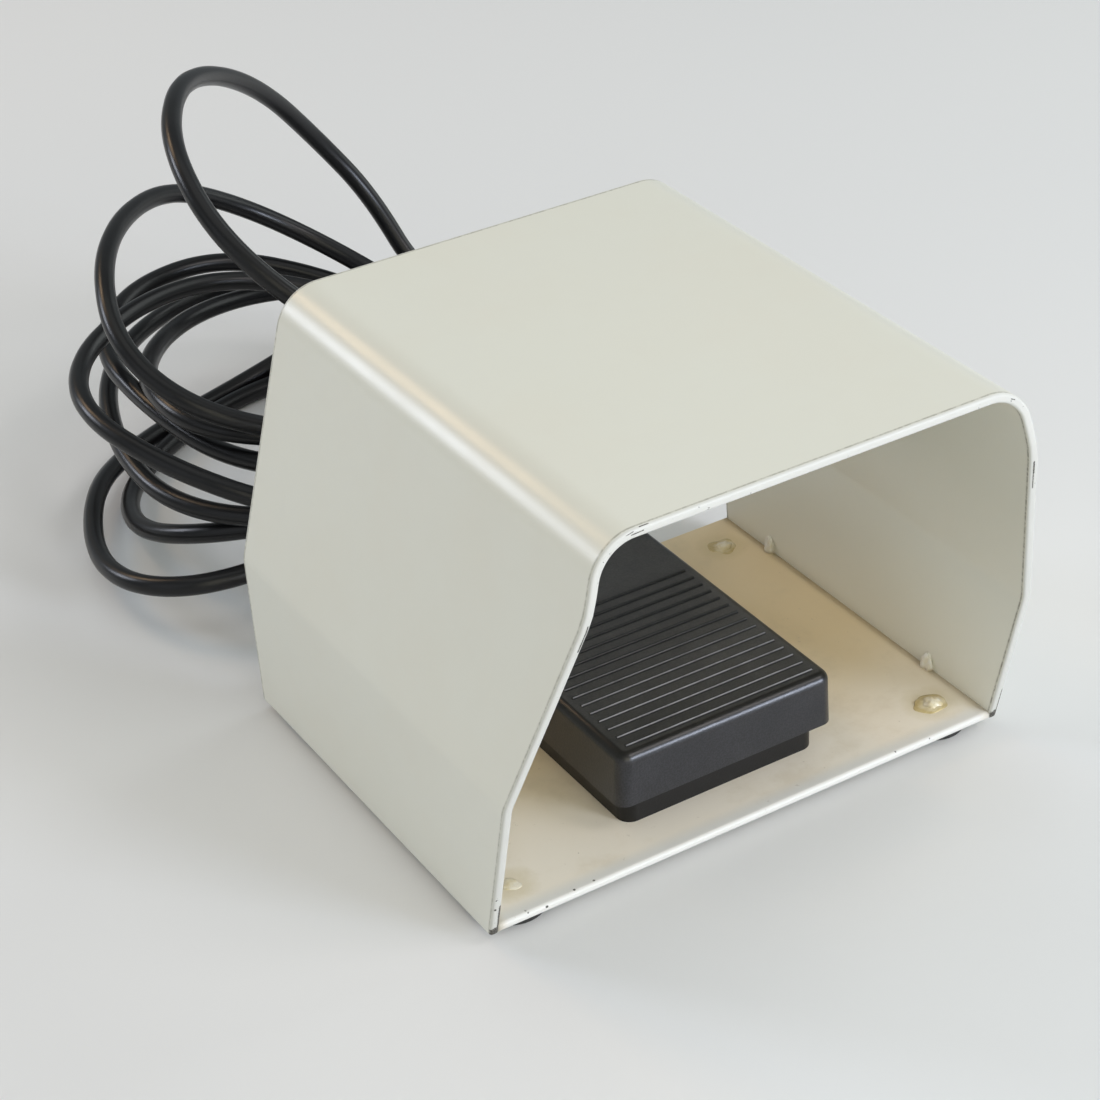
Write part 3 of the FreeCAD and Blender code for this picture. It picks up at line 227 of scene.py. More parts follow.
def makeSpot():
    # one chip, stain or scratch round a short line from middle - way * half length to middle + way * half length:
    # the distance from that line over the reach, with noise added to tear the outline
    group = newGroup("raggedSpot", [
        ("Vector", "NodeSocketVector", None), ("Middle", "NodeSocketVector", None),
        ("Way", "NodeSocketVector", (0, 0, 1)), ("Half Length", "NodeSocketFloat", 0.0),
        ("Reach", "NodeSocketFloat", 0.002), ("Ragged", "NodeSocketFloat", 0.6),
        ("Detail Scale", "NodeSocketFloat", 900.0), ("Soft", "NodeSocketFloat", 0.2)],
        [("Mask", "NodeSocketFloat")])
    n = Nodes(group)
    given = group.nodes.new("NodeGroupInput").outputs
    offset = n.add("VectorMath", {0: given["Vector"], 1: given["Middle"]}, operation="SUBTRACT").outputs[0]
    along = n.add("VectorMath", {0: offset, 1: given["Way"]}, operation="DOT_PRODUCT").outputs["Value"]
    along = n.math("MINIMUM", along, given["Half Length"])
    along = n.math("MAXIMUM", along, n.math("MULTIPLY", given["Half Length"], -1.0))
    nearest = n.add("VectorMath", {0: given["Way"], "Scale": along}, operation="SCALE").outputs[0]
    away = n.add("VectorMath", {0: offset, 1: nearest}, operation="DISTANCE").outputs["Value"]
    part = n.math("DIVIDE", away, given["Reach"])
    rough = n.noise(given["Vector"], given["Detail Scale"], 3.0, 0.6).outputs[0]
    torn = n.math("MULTIPLY", n.math("SUBTRACT", rough, 0.5), n.math("MULTIPLY", given["Ragged"], 2.0))
    edge = n.math("ADD", part, torn)
    low = n.math("SUBTRACT", 1.0, given["Soft"])
    high = n.math("ADD", 1.0, given["Soft"])
    node = n.add("MapRange", {"Value": edge, "From Min": low, "From Max": high, "To Min": 1.0, "To Max": 0.0})
    n.feed(group.nodes.new("NodeGroupOutput").inputs["Mask"], node.outputs[0])
    return group


def makeSpecks():
    # scattered dust and small dark or pale specks
    group = newGroup("scatteredSpecks", [
        ("Vector", "NodeSocketVector", None), ("Speck Scale", "NodeSocketFloat", 400.0),
        ("Size", "NodeSocketFloat", 0.1), ("Amount", "NodeSocketFloat", 0.5)], [("Mask", "NodeSocketFloat")])
    n = Nodes(group)
    given = group.nodes.new("NodeGroupInput").outputs
    cells = n.add("TexVoronoi", {"Vector": given["Vector"], "Scale": given["Speck Scale"]})
    dots = n.math("LESS_THAN", cells.outputs["Distance"], given["Size"])
    chosen = n.add("SeparateColor", {0: cells.outputs["Color"]}).outputs[0]
    kept = n.math("LESS_THAN", chosen, given["Amount"])
    n.feed(group.nodes.new("NodeGroupOutput").inputs["Mask"], n.math("MULTIPLY", dots, kept))
    return group


surfaceGrain = makeGrain()
raggedSpot = makeSpot()
scatteredSpecks = makeSpecks()


def newMaterial(name, **constants):
    # a Principled shader with its constants on its own sockets, and a helper for the rest
    material = bpy.data.materials.new(name)
    material.use_nodes = True
    n = Nodes(material.node_tree)
    shader = next(node for node in material.node_tree.nodes if node.type == "BSDF_PRINCIPLED")
    for label, setting in constants.items():
        shader.inputs[label.replace("_", " ")].default_value = setting
    spot = n.add("TexCoord").outputs["Object"]
    return material, n, shader, spot


def spotsOn(n, spot, places, ragged, detailScale, soft):
    # the union of several ragged spots, each with its middle, way, half length and reach in metres
    mask = None
    for middle, way, half, reach in places:
        given = {"Vector": spot, "Middle": middle, "Way": Vector(way).normalized(), "Half Length": half,
                 "Reach": reach, "Ragged": ragged, "Detail Scale": detailScale, "Soft": soft}
        one = n.group(raggedSpot, given).outputs["Mask"]
        mask = one if mask is None else n.math("MAXIMUM", mask, one)
    return mask


def bumpFrom(n, shader, height, strength, distance):
    bump = n.add("Bump", {"Height": height, "Strength": strength, "Distance": distance})
    n.feed(shader.inputs["Normal"], bump.outputs[0])


# Foot guard

guard = {
    "half": 0.080, "foldHeight": 0.0455, "height": 0.1204, "lean": 14.6, "crownRound": 0.0129, "foldRound": 0.0147,
    "wall": 0.0025, "foldReach": 0.0110, "kneeHeight": 0.1021, "kneeReach": 0.0264, "kneeRound": 0.0210,
    "crownReach": 0.0249, "depth": 0.1230, "rearReach": 0.0028, "rim": 0.0008, "lift": 0.0030, "ahead": 0.049815,
    # the front edge's outline: its round at the fold and at both ends, and how far it runs on past them
    "foldSoft": 0.02, "endRound": 0.002, "runOn": 0.01, "outlineStep": 0.002, "outlineArc": 24,
    # how finely the sheet is cut along its section, in its bends, along its depth, and round its edges and feet
    "sectionStep": 0.004, "bendSteps": 22, "depthSteps": 48, "edgeSteps": 7, "footSteps": 4,
    "swell": 0.00010,
}


def roundedPath(corners, radii, stepLength, arcSteps):
    # straight runs joined by tangent arcs, as points and the direction to the left of travel at each
    corners = [np.array(c, float) for c in corners]
    points, lefts = [], []
    last = corners[0]
    for before, corner, after, radius in zip(corners, corners[1:], corners[2:], radii):
        way = (corner - before) / np.linalg.norm(corner - before)
        onward = (after - corner) / np.linalg.norm(after - corner)
        turn = math.atan2(way[0] * onward[1] - way[1] * onward[0], way @ onward)
        cut = radius * math.tan(abs(turn) / 2)
        left = np.array([-way[1], way[0]])
        start = corner - way * cut
        steps = max(2, int(np.linalg.norm(start - last) / stepLength))
        share = np.linspace(0, 1, steps + 1)[:-1, None]
        points.append(last + (start - last) * share)
        lefts.append(np.repeat(left[None], steps, 0))
        side = math.copysign(1, turn)
        middle = start + left * radius * side
        angles = np.linspace(0, turn, arcSteps + 1)
        cosine, sine = np.cos(angles)[:, None], np.sin(angles)[:, None]
        spoke = -left * side
        across = np.array([-spoke[1], spoke[0]])
        points.append(middle + radius * (cosine * spoke + sine * across))
        lefts.append(-side * (cosine * spoke + sine * across))
        last = points[-1][-1]
        points[-1], lefts[-1] = points[-1][:-1], lefts[-1][:-1]
    way = (corners[-1] - last) / np.linalg.norm(corners[-1] - last)
    steps = max(2, int(np.linalg.norm(corners[-1] - last) / stepLength))
    points.append(last + (corners[-1] - last) * np.linspace(0, 1, steps + 1)[:, None])
    lefts.append(np.repeat(np.array([[-way[1], way[0]]]), steps + 1, 0))
    return np.concatenate(points), np.concatenate(lefts)


def guardFront(height):
    # where the front edge is at a height: two slightly different leans and a rounded knee
    g = guard
    outline, _ = roundedPath(
        [(0, -g["runOn"]), (0, 0), (-g["foldReach"], g["foldHeight"]), (-g["kneeReach"], g["kneeHeight"]),
         (-g["crownReach"], g["height"]), (-g["crownReach"], g["height"] + g["runOn"])],
        [g["endRound"], g["foldSoft"], g["kneeRound"], g["endRound"]], g["outlineStep"], g["outlineArc"])
    return np.interp(height, outline[:, 1], outline[:, 0])


def guardRear(height):
    # the rear edge leans back up to the fold and is upright above it
    g = guard
    return g["depth"] + g["rearReach"] * np.clip(height / g["foldHeight"], 0, 1)


def sheetLoop(wall, rim, steps, turns):
    # once round the sheet's wall: how far along the depth (0 front, 1 rear), how deep in the wall, and how far
    # in from the front or rear edge, with the four corners rounded; the last gives which points face each other
    bend = np.linspace(0, math.pi / 2, turns)
    along = 0.5 - 0.5 * np.cos(np.linspace(0, math.pi, steps))
    back = along[::-1][1:]
    closing, opening = rim * (1 - np.sin(bend)), rim * (1 - np.cos(bend))
    share = np.concatenate([along, np.ones(2 * turns - 1), back, np.zeros(2 * turns - 2)])
    depth = np.concatenate(
        [0 * along, opening[1:], wall - closing, wall + 0 * back, wall - opening[1:], closing[:-1]])
    edge = np.concatenate([rim + 0 * along, closing[1:], opening, rim + 0 * back, closing[1:], opening[:-1]])
    return share, depth, edge, 2 * (steps + turns) - 3


def guardHood():
    # the section's path from the right foot over the top to the left foot, and at each of its points
    # one loop round the wall between the front and rear edges at that height
    g = guard
    crown = g["half"] - (g["height"] - g["foldHeight"]) * math.tan(math.radians(g["lean"]))
    path, inward = roundedPath(
        [(g["half"], g["rim"]), (g["half"], g["foldHeight"]), (crown, g["height"]), (-crown, g["height"]),
         (-g["half"], g["foldHeight"]), (-g["half"], g["rim"])],
        [g["foldRound"], g["crownRound"], g["crownRound"], g["foldRound"]], g["sectionStep"], g["bendSteps"])
    # both feet of the sheet are rounded as its edges are
    count = g["footSteps"]
    bend = np.linspace(0, math.pi / 2, count + 1)[:-1]
    feet = np.stack([np.full(count, g["half"]), g["rim"] * (1 - np.cos(bend))], -1)
    taper = g["rim"] * (1 - np.sin(bend))
    inset = np.concatenate([taper, np.zeros(len(path)), taper[::-1]])[:, None]
    path = np.concatenate([feet, path, feet[::-1] * [-1, 1]])
    inward = np.concatenate([np.tile([-1.0, 0.0], (count, 1)), inward, np.tile([1.0, 0.0], (count, 1))])
    share, depth, edge, facing = sheetLoop(g["wall"], g["rim"], g["depthSteps"], g["edgeSteps"])
    deep = inset + (g["wall"] - 2 * inset) * (depth / g["wall"])[None, :]
    x = path[:, :1] + inward[:, :1] * deep
    z = path[:, 1:] + inward[:, 1:] * deep
    front = guardFront(z) + edge[None, :] + inset
    rear = guardRear(z) - edge[None, :] - inset
    y = front + share[None, :] * (rear - front)
    # a bent sheet is never quite flat: a slow swell, left out in the rounded edges and the upright walls
    swell = g["swell"] * np.sin(y * 41 + 1.3) * np.sin(x * 37 + z * 29 + 0.4) * (edge[None, :] >= g["rim"])
    swell = swell * (np.abs(x) < g["half"] - 0.001)
    points = np.stack([x, y - g["ahead"], z + g["lift"] + swell], -1)
    faces = [gridFaces(*x.shape), *endStrips(*x.shape, facing)]
    mesh = meshFromArrays("guardHood", points.reshape(-1, 3), faces)
    pointOutwards(mesh)
    fromEdge = np.minimum(y - guardFront(z), guardRear(z) - y)
    setAttribute(mesh, "fromEdge", np.clip(fromEdge, 0, 0.02) * 1000)
    setAttribute(mesh, "inside", np.broadcast_to(depth[None, :] / g["wall"], x.shape))
    return linkPiece("guard.hood", mesh)


plate = {
    "half": 0.0775, "depth": 0.1230, "wall": 0.0025, "frontRound": 0.0011, "rearRound": 0.0005,
    "step": 0.003, "roundSteps": 8, "slices": 60, "swell": 0.00008,
}


def basePlate():
    # a rounded rectangle in depth and height, carried across from side to side with a slow swell
    p = plate
    corners = [(0, p["wall"] / 2), (0, 0), (p["depth"], 0), (p["depth"], p["wall"]), (0, p["wall"]), (0, p["wall"] / 2)]
    rounds = [p["frontRound"], p["rearRound"], p["rearRound"], p["frontRound"]]
    outline, _ = roundedPath(corners, rounds, p["step"], p["roundSteps"])
    outline = outline[:-1]
    across = np.linspace(-p["half"], p["half"], p["slices"])
    x = np.repeat(across[:, None], len(outline), 1)
    y = np.repeat(outline[None, :, 0], len(across), 0)
    z = np.repeat(outline[None, :, 1], len(across), 0)
    z = z + p["swell"] * np.sin(x * 70 + 1) * np.sin(y * 55)
    points = np.stack([x, y - guard["ahead"], z + guard["lift"]], -1).reshape(-1, 3)
    mesh = meshFromArrays("basePlate", points, [gridFaces(*x.shape), *endFaces(*x.shape)])
    pointOutwards(mesh)
    return linkPiece("guard.plate", mesh)


tack = {
    "reach": (0.0015, 0.0018, 0.0040), "alongFront": 0.026, "alongRear": 0.100, "lumps": 0.18, "up": 0.0010,
    "sunk": 0.0004,
}


def tackWelds():
    # lumpy beads sunk in the corners between the plate and the hood's sides
    t = tack
    places = [(side, t[end]) for side in (1, -1) for end in ("alongFront", "alongRear")]
    blobs = []
    for k, (side, along) in enumerate(places):
        middle = (side * (plate["half"] - t["sunk"]), along - guard["ahead"], guard["lift"] + plate["wall"] + t["up"])
        blobs.append(blob(middle, t["reach"], lumps=t["lumps"], seed=1.7 + k))
    return blobPiece("guard.tackWelds", blobs)


glue = {
    "reach": (0.0050, 0.0045, 0.0019), "side": 0.067, "front": 0.012, "rear": 0.110,
    # the ring that ran out and the dome on it: where each lies, its share of the reach and its lumps
    "ring": ((0, 0, -0.0001), (1, 1, 0.42), 0.12), "dome": ((0.0003, -0.0004, 0.0001), (0.55, 0.6, 0.98), 0.14),
    # right or left, front or rear, how wide, high and pale each dab is
    "dabs": [(1, "front", 0.95, 0.8, 1.0), (1, "rear", 0.9, 0.5, 0.9),
             (-1, "front", 0.85, 0.11, 1.5), (-1, "rear", 0.9, 0.7, 1.0)],
}


def glueDabs():
    # flat lumpy domes of glue over the ends of the feet's screws, and the ring that ran out round each
    g = glue
    blobs = []
    for k, (side, end, wide, high, _) in enumerate(g["dabs"]):
        middle = np.array((side * g["side"], g[end] - guard["ahead"], guard["lift"] + plate["wall"]))
        reach = np.array(g["reach"]) * [wide, wide, high]
        shift, part, lumps = g["ring"]
        blobs.append(blob(middle + shift, reach * part, lumps=lumps, seed=0.6 + k))
        shift, part, lumps = g["dome"]
        blobs.append(blob(middle + shift, reach * part, turns=36, rings=18, lumps=lumps, seed=2.9 + k))
    return blobPiece("guard.glueDabs", blobs)


# Treadle and the other carried-over parts

# corners of a CAD node that lie closer than this are one corner
mergeWithin = 2e-6
def mergedCopy(node, name, angle):
    # a copy of a CAD node with its doubled corners merged, smooth up to the given angle
    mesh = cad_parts[node].data.copy()
    mesh.name = name
    work = bmesh.new()
    work.from_mesh(mesh)
    bmesh.ops.remove_doubles(work, verts=work.verts, dist=mergeWithin)
    for edge in work.edges:
        edge.smooth = len(edge.link_faces) == 2 and edge.calc_face_angle(0) < math.radians(angle)
    for face in work.faces:
        face.smooth = True
    work.to_mesh(mesh)
    work.free()
    mesh.materials.clear()
    piece = linkPiece(name, mesh)
    weigh = piece.modifiers.new("weighedNormals", "WEIGHTED_NORMAL")
    weigh.keep_sharp = True
    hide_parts(node)
    return piece


# Cord

cordLead = [
    (0.0000, 0.0846, 0.0155), (0.0000, 0.1022, 0.0155), (-0.0140, 0.1152, 0.0170),
    (-0.0360, 0.1152, 0.0200), (-0.0589, 0.1107, 0.0181), (-0.0816, 0.1175, 0.0163),
    (-0.0930, 0.1364, 0.0131), (-0.0908, 0.1630, 0.0099), (-0.0770, 0.1929, 0.0109),
    (-0.0555, 0.2159, 0.0062), (-0.0289, 0.2318, 0.0031),
]
# each row of the coil is one turn, from its right side towards the front and round
cordTurns = [
    [
        (-0.0013, 0.2403, 0.0036), (0.0232, 0.2407, 0.0102), (0.0422, 0.2271, 0.0105),
        (0.0503, 0.1993, 0.0102), (0.0445, 0.1649, 0.0129), (0.0252, 0.1343, 0.0190),
        (-0.0049, 0.1153, 0.0255), (-0.0393, 0.1143, 0.0269), (-0.0664, 0.1334, 0.0209),
        (-0.0760, 0.1639, 0.0101), (-0.0653, 0.1963, 0.0044), (-0.0373, 0.2202, 0.0036),
        (-0.0027, 0.2336, 0.0037), (0.0328, 0.2335, 0.0035), (0.0601, 0.2150, 0.0031),
    ],
    [
        (0.0683, 0.1833, 0.0042), (0.0556, 0.1520, 0.0102), (0.0295, 0.1300, 0.0226),
        (-0.0031, 0.1203, 0.0375), (-0.0370, 0.1237, 0.0482), (-0.0620, 0.1421, 0.0511),
        (-0.0634, 0.1737, 0.0519), (-0.0467, 0.2050, 0.0466), (-0.0196, 0.2299, 0.0403),
        (0.0135, 0.2414, 0.0331), (0.0440, 0.2350, 0.0267), (0.0571, 0.2087, 0.0177),
    ],
    [
        (0.0519, 0.1738, 0.0156), (0.0387, 0.1393, 0.0255), (0.0171, 0.1118, 0.0364),
        (-0.0166, 0.1015, 0.0363), (-0.0508, 0.1129, 0.0303), (-0.0715, 0.1427, 0.0280),
        (-0.0721, 0.1791, 0.0291), (-0.0607, 0.2155, 0.0334), (-0.0360, 0.2430, 0.0331),
        (-0.0034, 0.2580, 0.0312), (0.0276, 0.2533, 0.0251), (0.0455, 0.2270, 0.0172),
    ],
    [
        (0.0491, 0.1912, 0.0177), (0.0412, 0.1555, 0.0264), (0.0226, 0.1249, 0.0372),
        (-0.0056, 0.1063, 0.0436), (-0.0364, 0.1102, 0.0437), (-0.0562, 0.1372, 0.0419),
        (-0.0629, 0.1752, 0.0444), (-0.0616, 0.2129, 0.0463), (-0.0400, 0.2397, 0.0493),
        (-0.0040, 0.2458, 0.0490), (0.0281, 0.2296, 0.0379), (0.0506, 0.1990, 0.0264),
    ],
    [
        (0.0587, 0.1619, 0.0198), (0.0470, 0.1274, 0.0180), (0.0183, 0.1039, 0.0216),
        (-0.0184, 0.0958, 0.0297), (-0.0538, 0.1044, 0.0401), (-0.0785, 0.1292, 0.0511),
        (-0.0884, 0.1636, 0.0564), (-0.0744, 0.1954, 0.0567), (-0.0420, 0.2160, 0.0576),
        (-0.0079, 0.2223, 0.0523), (0.0246, 0.2083, 0.0407), (0.0479, 0.1799, 0.0301),
    ],
    [
        (0.0520, 0.1462, 0.0235), (0.0311, 0.1210, 0.0229), (-0.0017, 0.1128, 0.0343),
        (-0.0358, 0.1172, 0.0516), (-0.0663, 0.1301, 0.0639), (-0.0774, 0.1543, 0.0768),
        (-0.0681, 0.1845, 0.0875), (-0.0480, 0.2134, 0.0885), (-0.0216, 0.2361, 0.0816),
        (0.0061, 0.2442, 0.0646), (0.0314, 0.2326, 0.0466), (0.0475, 0.2044, 0.0342),
    ],
    [
        (0.0539, 0.1691, 0.0337), (0.0454, 0.1351, 0.0415), (0.0228, 0.1104, 0.0551),
        (-0.0074, 0.1011, 0.0730), (-0.0357, 0.1092, 0.0936), (-0.0522, 0.1323, 0.1139),
        (-0.0502, 0.1635, 0.1289), (-0.0336, 0.1945, 0.1326), (-0.0103, 0.2203, 0.1232),
        (0.0149, 0.2384, 0.1047), (0.0360, 0.2462, 0.0792), (0.0513, 0.2412, 0.0570),
        (0.0587, 0.2237, 0.0306), (0.0791, 0.1984, 0.0147),
    ],
]
cordTail = [
    (0.1020, 0.1760, 0.0088), (0.1140, 0.1612, 0.0069), (0.1230, 0.1442, 0.0069),
    (0.1290, 0.1252, 0.0069),
]

cord = {
    "diameter": 0.0060, "length": 3.38, "exit": (0.0, 0.0846, 0.0155),
    # the spline's order, its steps from point to point and its steps round
    "order": 3, "steps": 14, "round": 5,
}


def freeCord():
    # one smooth spline with the route's points as its control points
    route = cordLead + [point for turn in cordTurns for point in turn] + cordTail
    curve = bpy.data.curves.new("cord", "CURVE")
    curve.dimensions = "3D"
    spline = curve.splines.new("NURBS")
    spline.points.add(len(route) - 1)
    flat = np.ones((len(route), 4), np.float32)
    flat[:, :3] = route
    spline.points.foreach_set("co", flat.ravel())
    spline.order_u = cord["order"]
    spline.use_endpoint_u = True
    spline.resolution_u = cord["steps"]
    curve.bevel_depth = cord["diameter"] / 2
    curve.bevel_resolution = cord["round"]
    curve.use_fill_caps = True
    return linkPiece("lead.cord", curve)


# Finishes. The renderer's noise filter leaves patches where a roughness range crosses 0.274, so all start above it.

enamel = {
    "paint": (0.745, 0.747, 0.667, 1), "aged": (0.735, 0.712, 0.615, 1), "cloud": (0.70, 0.68, 0.60, 1),
    # inner is painted bounce light, the inner face lighter and warmer than the outer; rim is painted shade, the edge
    # faces toned down against the front lamps
    "inner": (0.80, 0.785, 0.69, 1), "rim": (0.55, 0.55, 0.52, 1),
    # the painted shade line behind the rim, outside and inside, and the two tones of bare metal
    "outerShadeLine": (0.36, 0.355, 0.30, 1), "innerShadeLine": (0.20, 0.19, 0.16, 1),
    "metal": (0.075, 0.070, 0.064, 1), "pits": (0.26, 0.25, 0.22, 1),
    "roughness": 0.28, "spread": 0.05, "wearAndGlintRoughness": 0.14, "chipRoughness": 0.2, "peelScale": 170.0,
    # bare metal on the front rim: right or left side, how far in from the outer face, lower and upper height, reach
    "rimChips": [
        (-1, 0.0012, 0.0002, 0.0016, 0.00135), (-1, 0.0020, 0.0022, 0.0105, 0.00038),
        (1, 0.0010, 0.0002, 0.0018, 0.00135), (1, 0.0004, 0.0020, 0.0105, 0.00042),
        (1, 0.0015, 0.0935, 0.0975, 0.00026), (1, 0.0016, 0.0880, 0.0945, 0.00016),
        (-1, 0.0017, 0.0930, 0.1000, 0.00022), (-1, 0.0006, 0.0098, 0.0100, 0.00030)],
    # scratches on the crown's edge: middle, way, half length and reach
    "scratches": [
        ((-0.0500, -0.0748, 0.1222), (1, 0, 0.05), 0.0016, 0.00014),
        ((-0.0480, -0.0744, 0.1233), (1, 0, 0), 0.0012, 0.00013),
        ((-0.0520, -0.0747, 0.1226), (1, 0, 0.2), 0.0010, 0.00012),
        ((0.0570, -0.0750, 0.1205), (1, 0, -0.5), 0.0006, 0.00014)],
}
plateFinish = {
    "edge": (0.70, 0.695, 0.66, 1), "front": (0.86, 0.805, 0.70, 1), "tan": (0.79, 0.66, 0.44, 1),
    "grimeAndShade": (0.60, 0.51, 0.36, 1), "stain": (0.58, 0.49, 0.27, 1), "scuff": (0.36, 0.31, 0.24, 1),
    "speck": (0.12, 0.10, 0.08, 1),
    # where along the depth the lit front colour turns to the painted shade's tan and the front edge ends, and where
    # across the painted shade in the corners by the sides begins
    "shadeTanFrom": -0.030, "shadeTanTo": 0.030, "edgeFrom": -0.0485, "edgeTo": -0.0435, "sideFrom": 0.0735, "sideTo": 0.0775,
    # how far a stain reaches past the middle of a dab of its own width
    "stainReach": 0.0072,
    "nicks": [
        ((-0.0687, -0.0497, 0.0053), 0.00034), ((-0.0634, -0.0499, 0.0048), 0.00040),
        ((-0.0548, -0.0489, 0.0055), 0.00034), ((-0.0488, -0.0486, 0.0055), 0.00034),
        ((0.0573, -0.0498, 0.0052), 0.00034), ((0.0460, -0.0494, 0.0055), 0.00034)],
}
def rimPoint(side, across, height):
    # a point of the front rim, with its rounded corners: in from the outer face, at a height above the feet
    g = guard
    x = g["half"] - max(0, height - g["foldHeight"]) * math.tan(math.radians(g["lean"])) - across
    corner = max(g["rim"] - min(across, g["wall"] - across), 0)
    back = g["rim"] - math.sqrt(g["rim"] ** 2 - corner ** 2)
    return Vector((side * x, float(guardFront(height)) + back - g["ahead"], height + g["lift"]))


def rimChip(side, across, low, high, reach):
    start, end = rimPoint(side, across, low), rimPoint(side, across, high)
    return (start + end) / 2, end - start, (end - start).length / 2, reach


def satinPaint(n, shader, spot, paint, chipped, wearAndGlint):
    # what both painted sheets share: chips down to dark steel, smeared gloss and the spray's slow swell
    e = enamel
    pitted = n.noise(spot, 2600.0, 2.0, 0.6).outputs[0]
    bare = n.mix(n.span(pitted, 0.45, 0.65), e["metal"], e["pits"])
    n.feed(shader.inputs["Base Color"], n.mix(chipped, paint, bare))
    n.feed(shader.inputs["Metallic"], n.math("MULTIPLY", chipped, 0.6))
    smear = n.noise(spot, 45.0, 4.0, 0.6).outputs[0]
    gloss = n.span(smear, 0.3, 0.8, e["roughness"], e["roughness"] + e["spread"])
    gloss = n.math("ADD", gloss, n.math("MULTIPLY", wearAndGlint, e["wearAndGlintRoughness"]))
    n.feed(shader.inputs["Roughness"], n.math("ADD", gloss, n.math("MULTIPLY", chipped, e["chipRoughness"])))
    peel = n.noise(spot, e["peelScale"], 1.0, 0.4).outputs[0]
    height = n.math("SUBTRACT", peel, n.math("MULTIPLY", chipped, 1.5))
    bumpFrom(n, shader, height, 0.05, 0.0002)


def hoodFinish():
    # satin enamel with slow uneven colour, painted bounce light on the inner face, painted shade on the rim and in a
    # thin line along the front and rear edges, and chips
    e = enamel
    material, n, shader, spot = newMaterial("enamelSheet", IOR=1.5)
    slow = n.noise(spot, 22.0, 3.0, 0.55).outputs[0]
    paint = n.mix(n.span(slow, 0.35, 0.75, 0.0, 0.35), e["paint"], e["aged"])
    cloud = n.noise(spot, 130.0, 4.0, 0.6).outputs[0]
    paint = n.mix(n.span(cloud, 0.45, 0.8, 0.0, 0.10), paint, e["cloud"])
    within = n.add("Attribute", attribute_name="inside", attribute_type="GEOMETRY").outputs["Fac"]
    # painted bounce light: the inner face of the sheet lighter and warmer than the outer one
    paint = n.mix(n.span(within, 0.8, 1.0, 0.0, 0.55), paint, e["inner"])
    # millimetres in from the front or rear edge
    fromEdge = n.add("Attribute", attribute_name="fromEdge", attribute_type="GEOMETRY").outputs["Fac"]
    tiny = n.noise(spot, 700.0, 3.0, 0.7).outputs[0]
    # painted shade: a thin dark line just in from the front and rear edges, darker on the inner face
    edgeShadeLine = n.math("MULTIPLY", n.span(fromEdge, 0.55, 0.85), n.span(fromEdge, 1.0, 1.5, 1.0, 0.0))
    edgeShadeLine = n.math("MULTIPLY", edgeShadeLine, n.span(tiny, 0.35, 0.65, 0.35, 0.9))
    paint = n.mix(edgeShadeLine, paint, n.mix(n.span(within, 0.5, 0.9), e["outerShadeLine"], e["innerShadeLine"]))
    # painted shade: the front and rear edge faces toned down and greyer against the front lamps
    paint = n.mix(n.span(fromEdge, 0.3, 0.9, 0.9, 0.0), paint, e["rim"])
    nearEdge = n.span(fromEdge, 0.0, 1.0, 1.0, 0.0)
    rubbed = n.span(n.math("MULTIPLY", nearEdge, tiny), 0.69, 0.71)
    bare = [rimChip(*chip) for chip in e["rimChips"]] + e["scratches"]
    chipped = n.math("MAXIMUM", spotsOn(n, spot, bare, 0.55, 1500.0, 0.15), rubbed)
    satinPaint(n, shader, spot, paint, chipped, nearEdge)
    return material


def floorPlateFinish():
    # the same enamel, with painted shade that turns it darker and warmer deeper under the hood, grime, a painted shade
    # band on the front edge and in the corners by the sides, stains round the glue and nicks on the front edge
    p = plateFinish
    material, n, shader, spot = newMaterial("enamelPlate", IOR=1.5)
    place = n.add("SeparateXYZ", {0: spot}).outputs
    slow = n.noise(spot, 26.0, 3.0, 0.55).outputs[0]
    # painted shade and bounce light: the plate turns from the lit cream at the front to a darker tan deeper under the
    # hood
    depthIntoShade = n.math("ADD", place[1], n.math("MULTIPLY", slow, 0.03))
    paint = n.mix(n.span(depthIntoShade, p["shadeTanFrom"], p["shadeTanTo"]), p["front"], p["tan"])
    grimeAndShade = n.span(n.noise(spot, 60.0, 5.0, 0.65).outputs[0], 0.48, 0.72, 0.0, 0.30)
    paint = n.mix(grimeAndShade, paint, p["grimeAndShade"])
    # painted shade: a greyer, darker band along the front edge, toned down against the front lamps
    nearFront = n.span(place[1], p["edgeFrom"], p["edgeTo"], 1.0, 0.0)
    paint = n.mix(nearFront, paint, p["edge"])
    aside = n.math("ABSOLUTE", place[0])
    # painted shade in the corners where the plate meets the sides
    paint = n.mix(n.span(aside, p["sideFrom"], p["sideTo"], 0.0, 0.4), paint, p["grimeAndShade"])
    top = guard["lift"] + plate["wall"]
    stains = [((side * glue["side"], glue[end] - guard["ahead"], top), (0, 0, 1), 0.0, p["stainReach"] * wide)
              for side, end, wide, _, _ in glue["dabs"]]
    stain = spotsOn(n, spot, stains, 0.35, 260.0, 0.30)
    paint = n.mix(n.math("MULTIPLY", stain, 0.35), paint, p["stain"])
    scuffs = n.span(n.noise(spot, 420.0, 4.0, 0.7).outputs[0], 0.66, 0.74, 0.0, 0.35)
    paint = n.mix(scuffs, paint, p["scuff"])
    given = {"Vector": spot, "Speck Scale": 260.0, "Size": 0.08, "Amount": 0.05}
    dark = n.group(scatteredSpecks, given).outputs[0]
    paint = n.mix(n.math("MULTIPLY", dark, 0.6), paint, p["speck"])
    nicks = [(middle, (1, 0, 0), 0.0, reach) for middle, reach in p["nicks"]]
    satinPaint(n, shader, spot, paint, spotsOn(n, spot, nicks, 0.5, 1800.0, 0.15), nearFront)
    return material


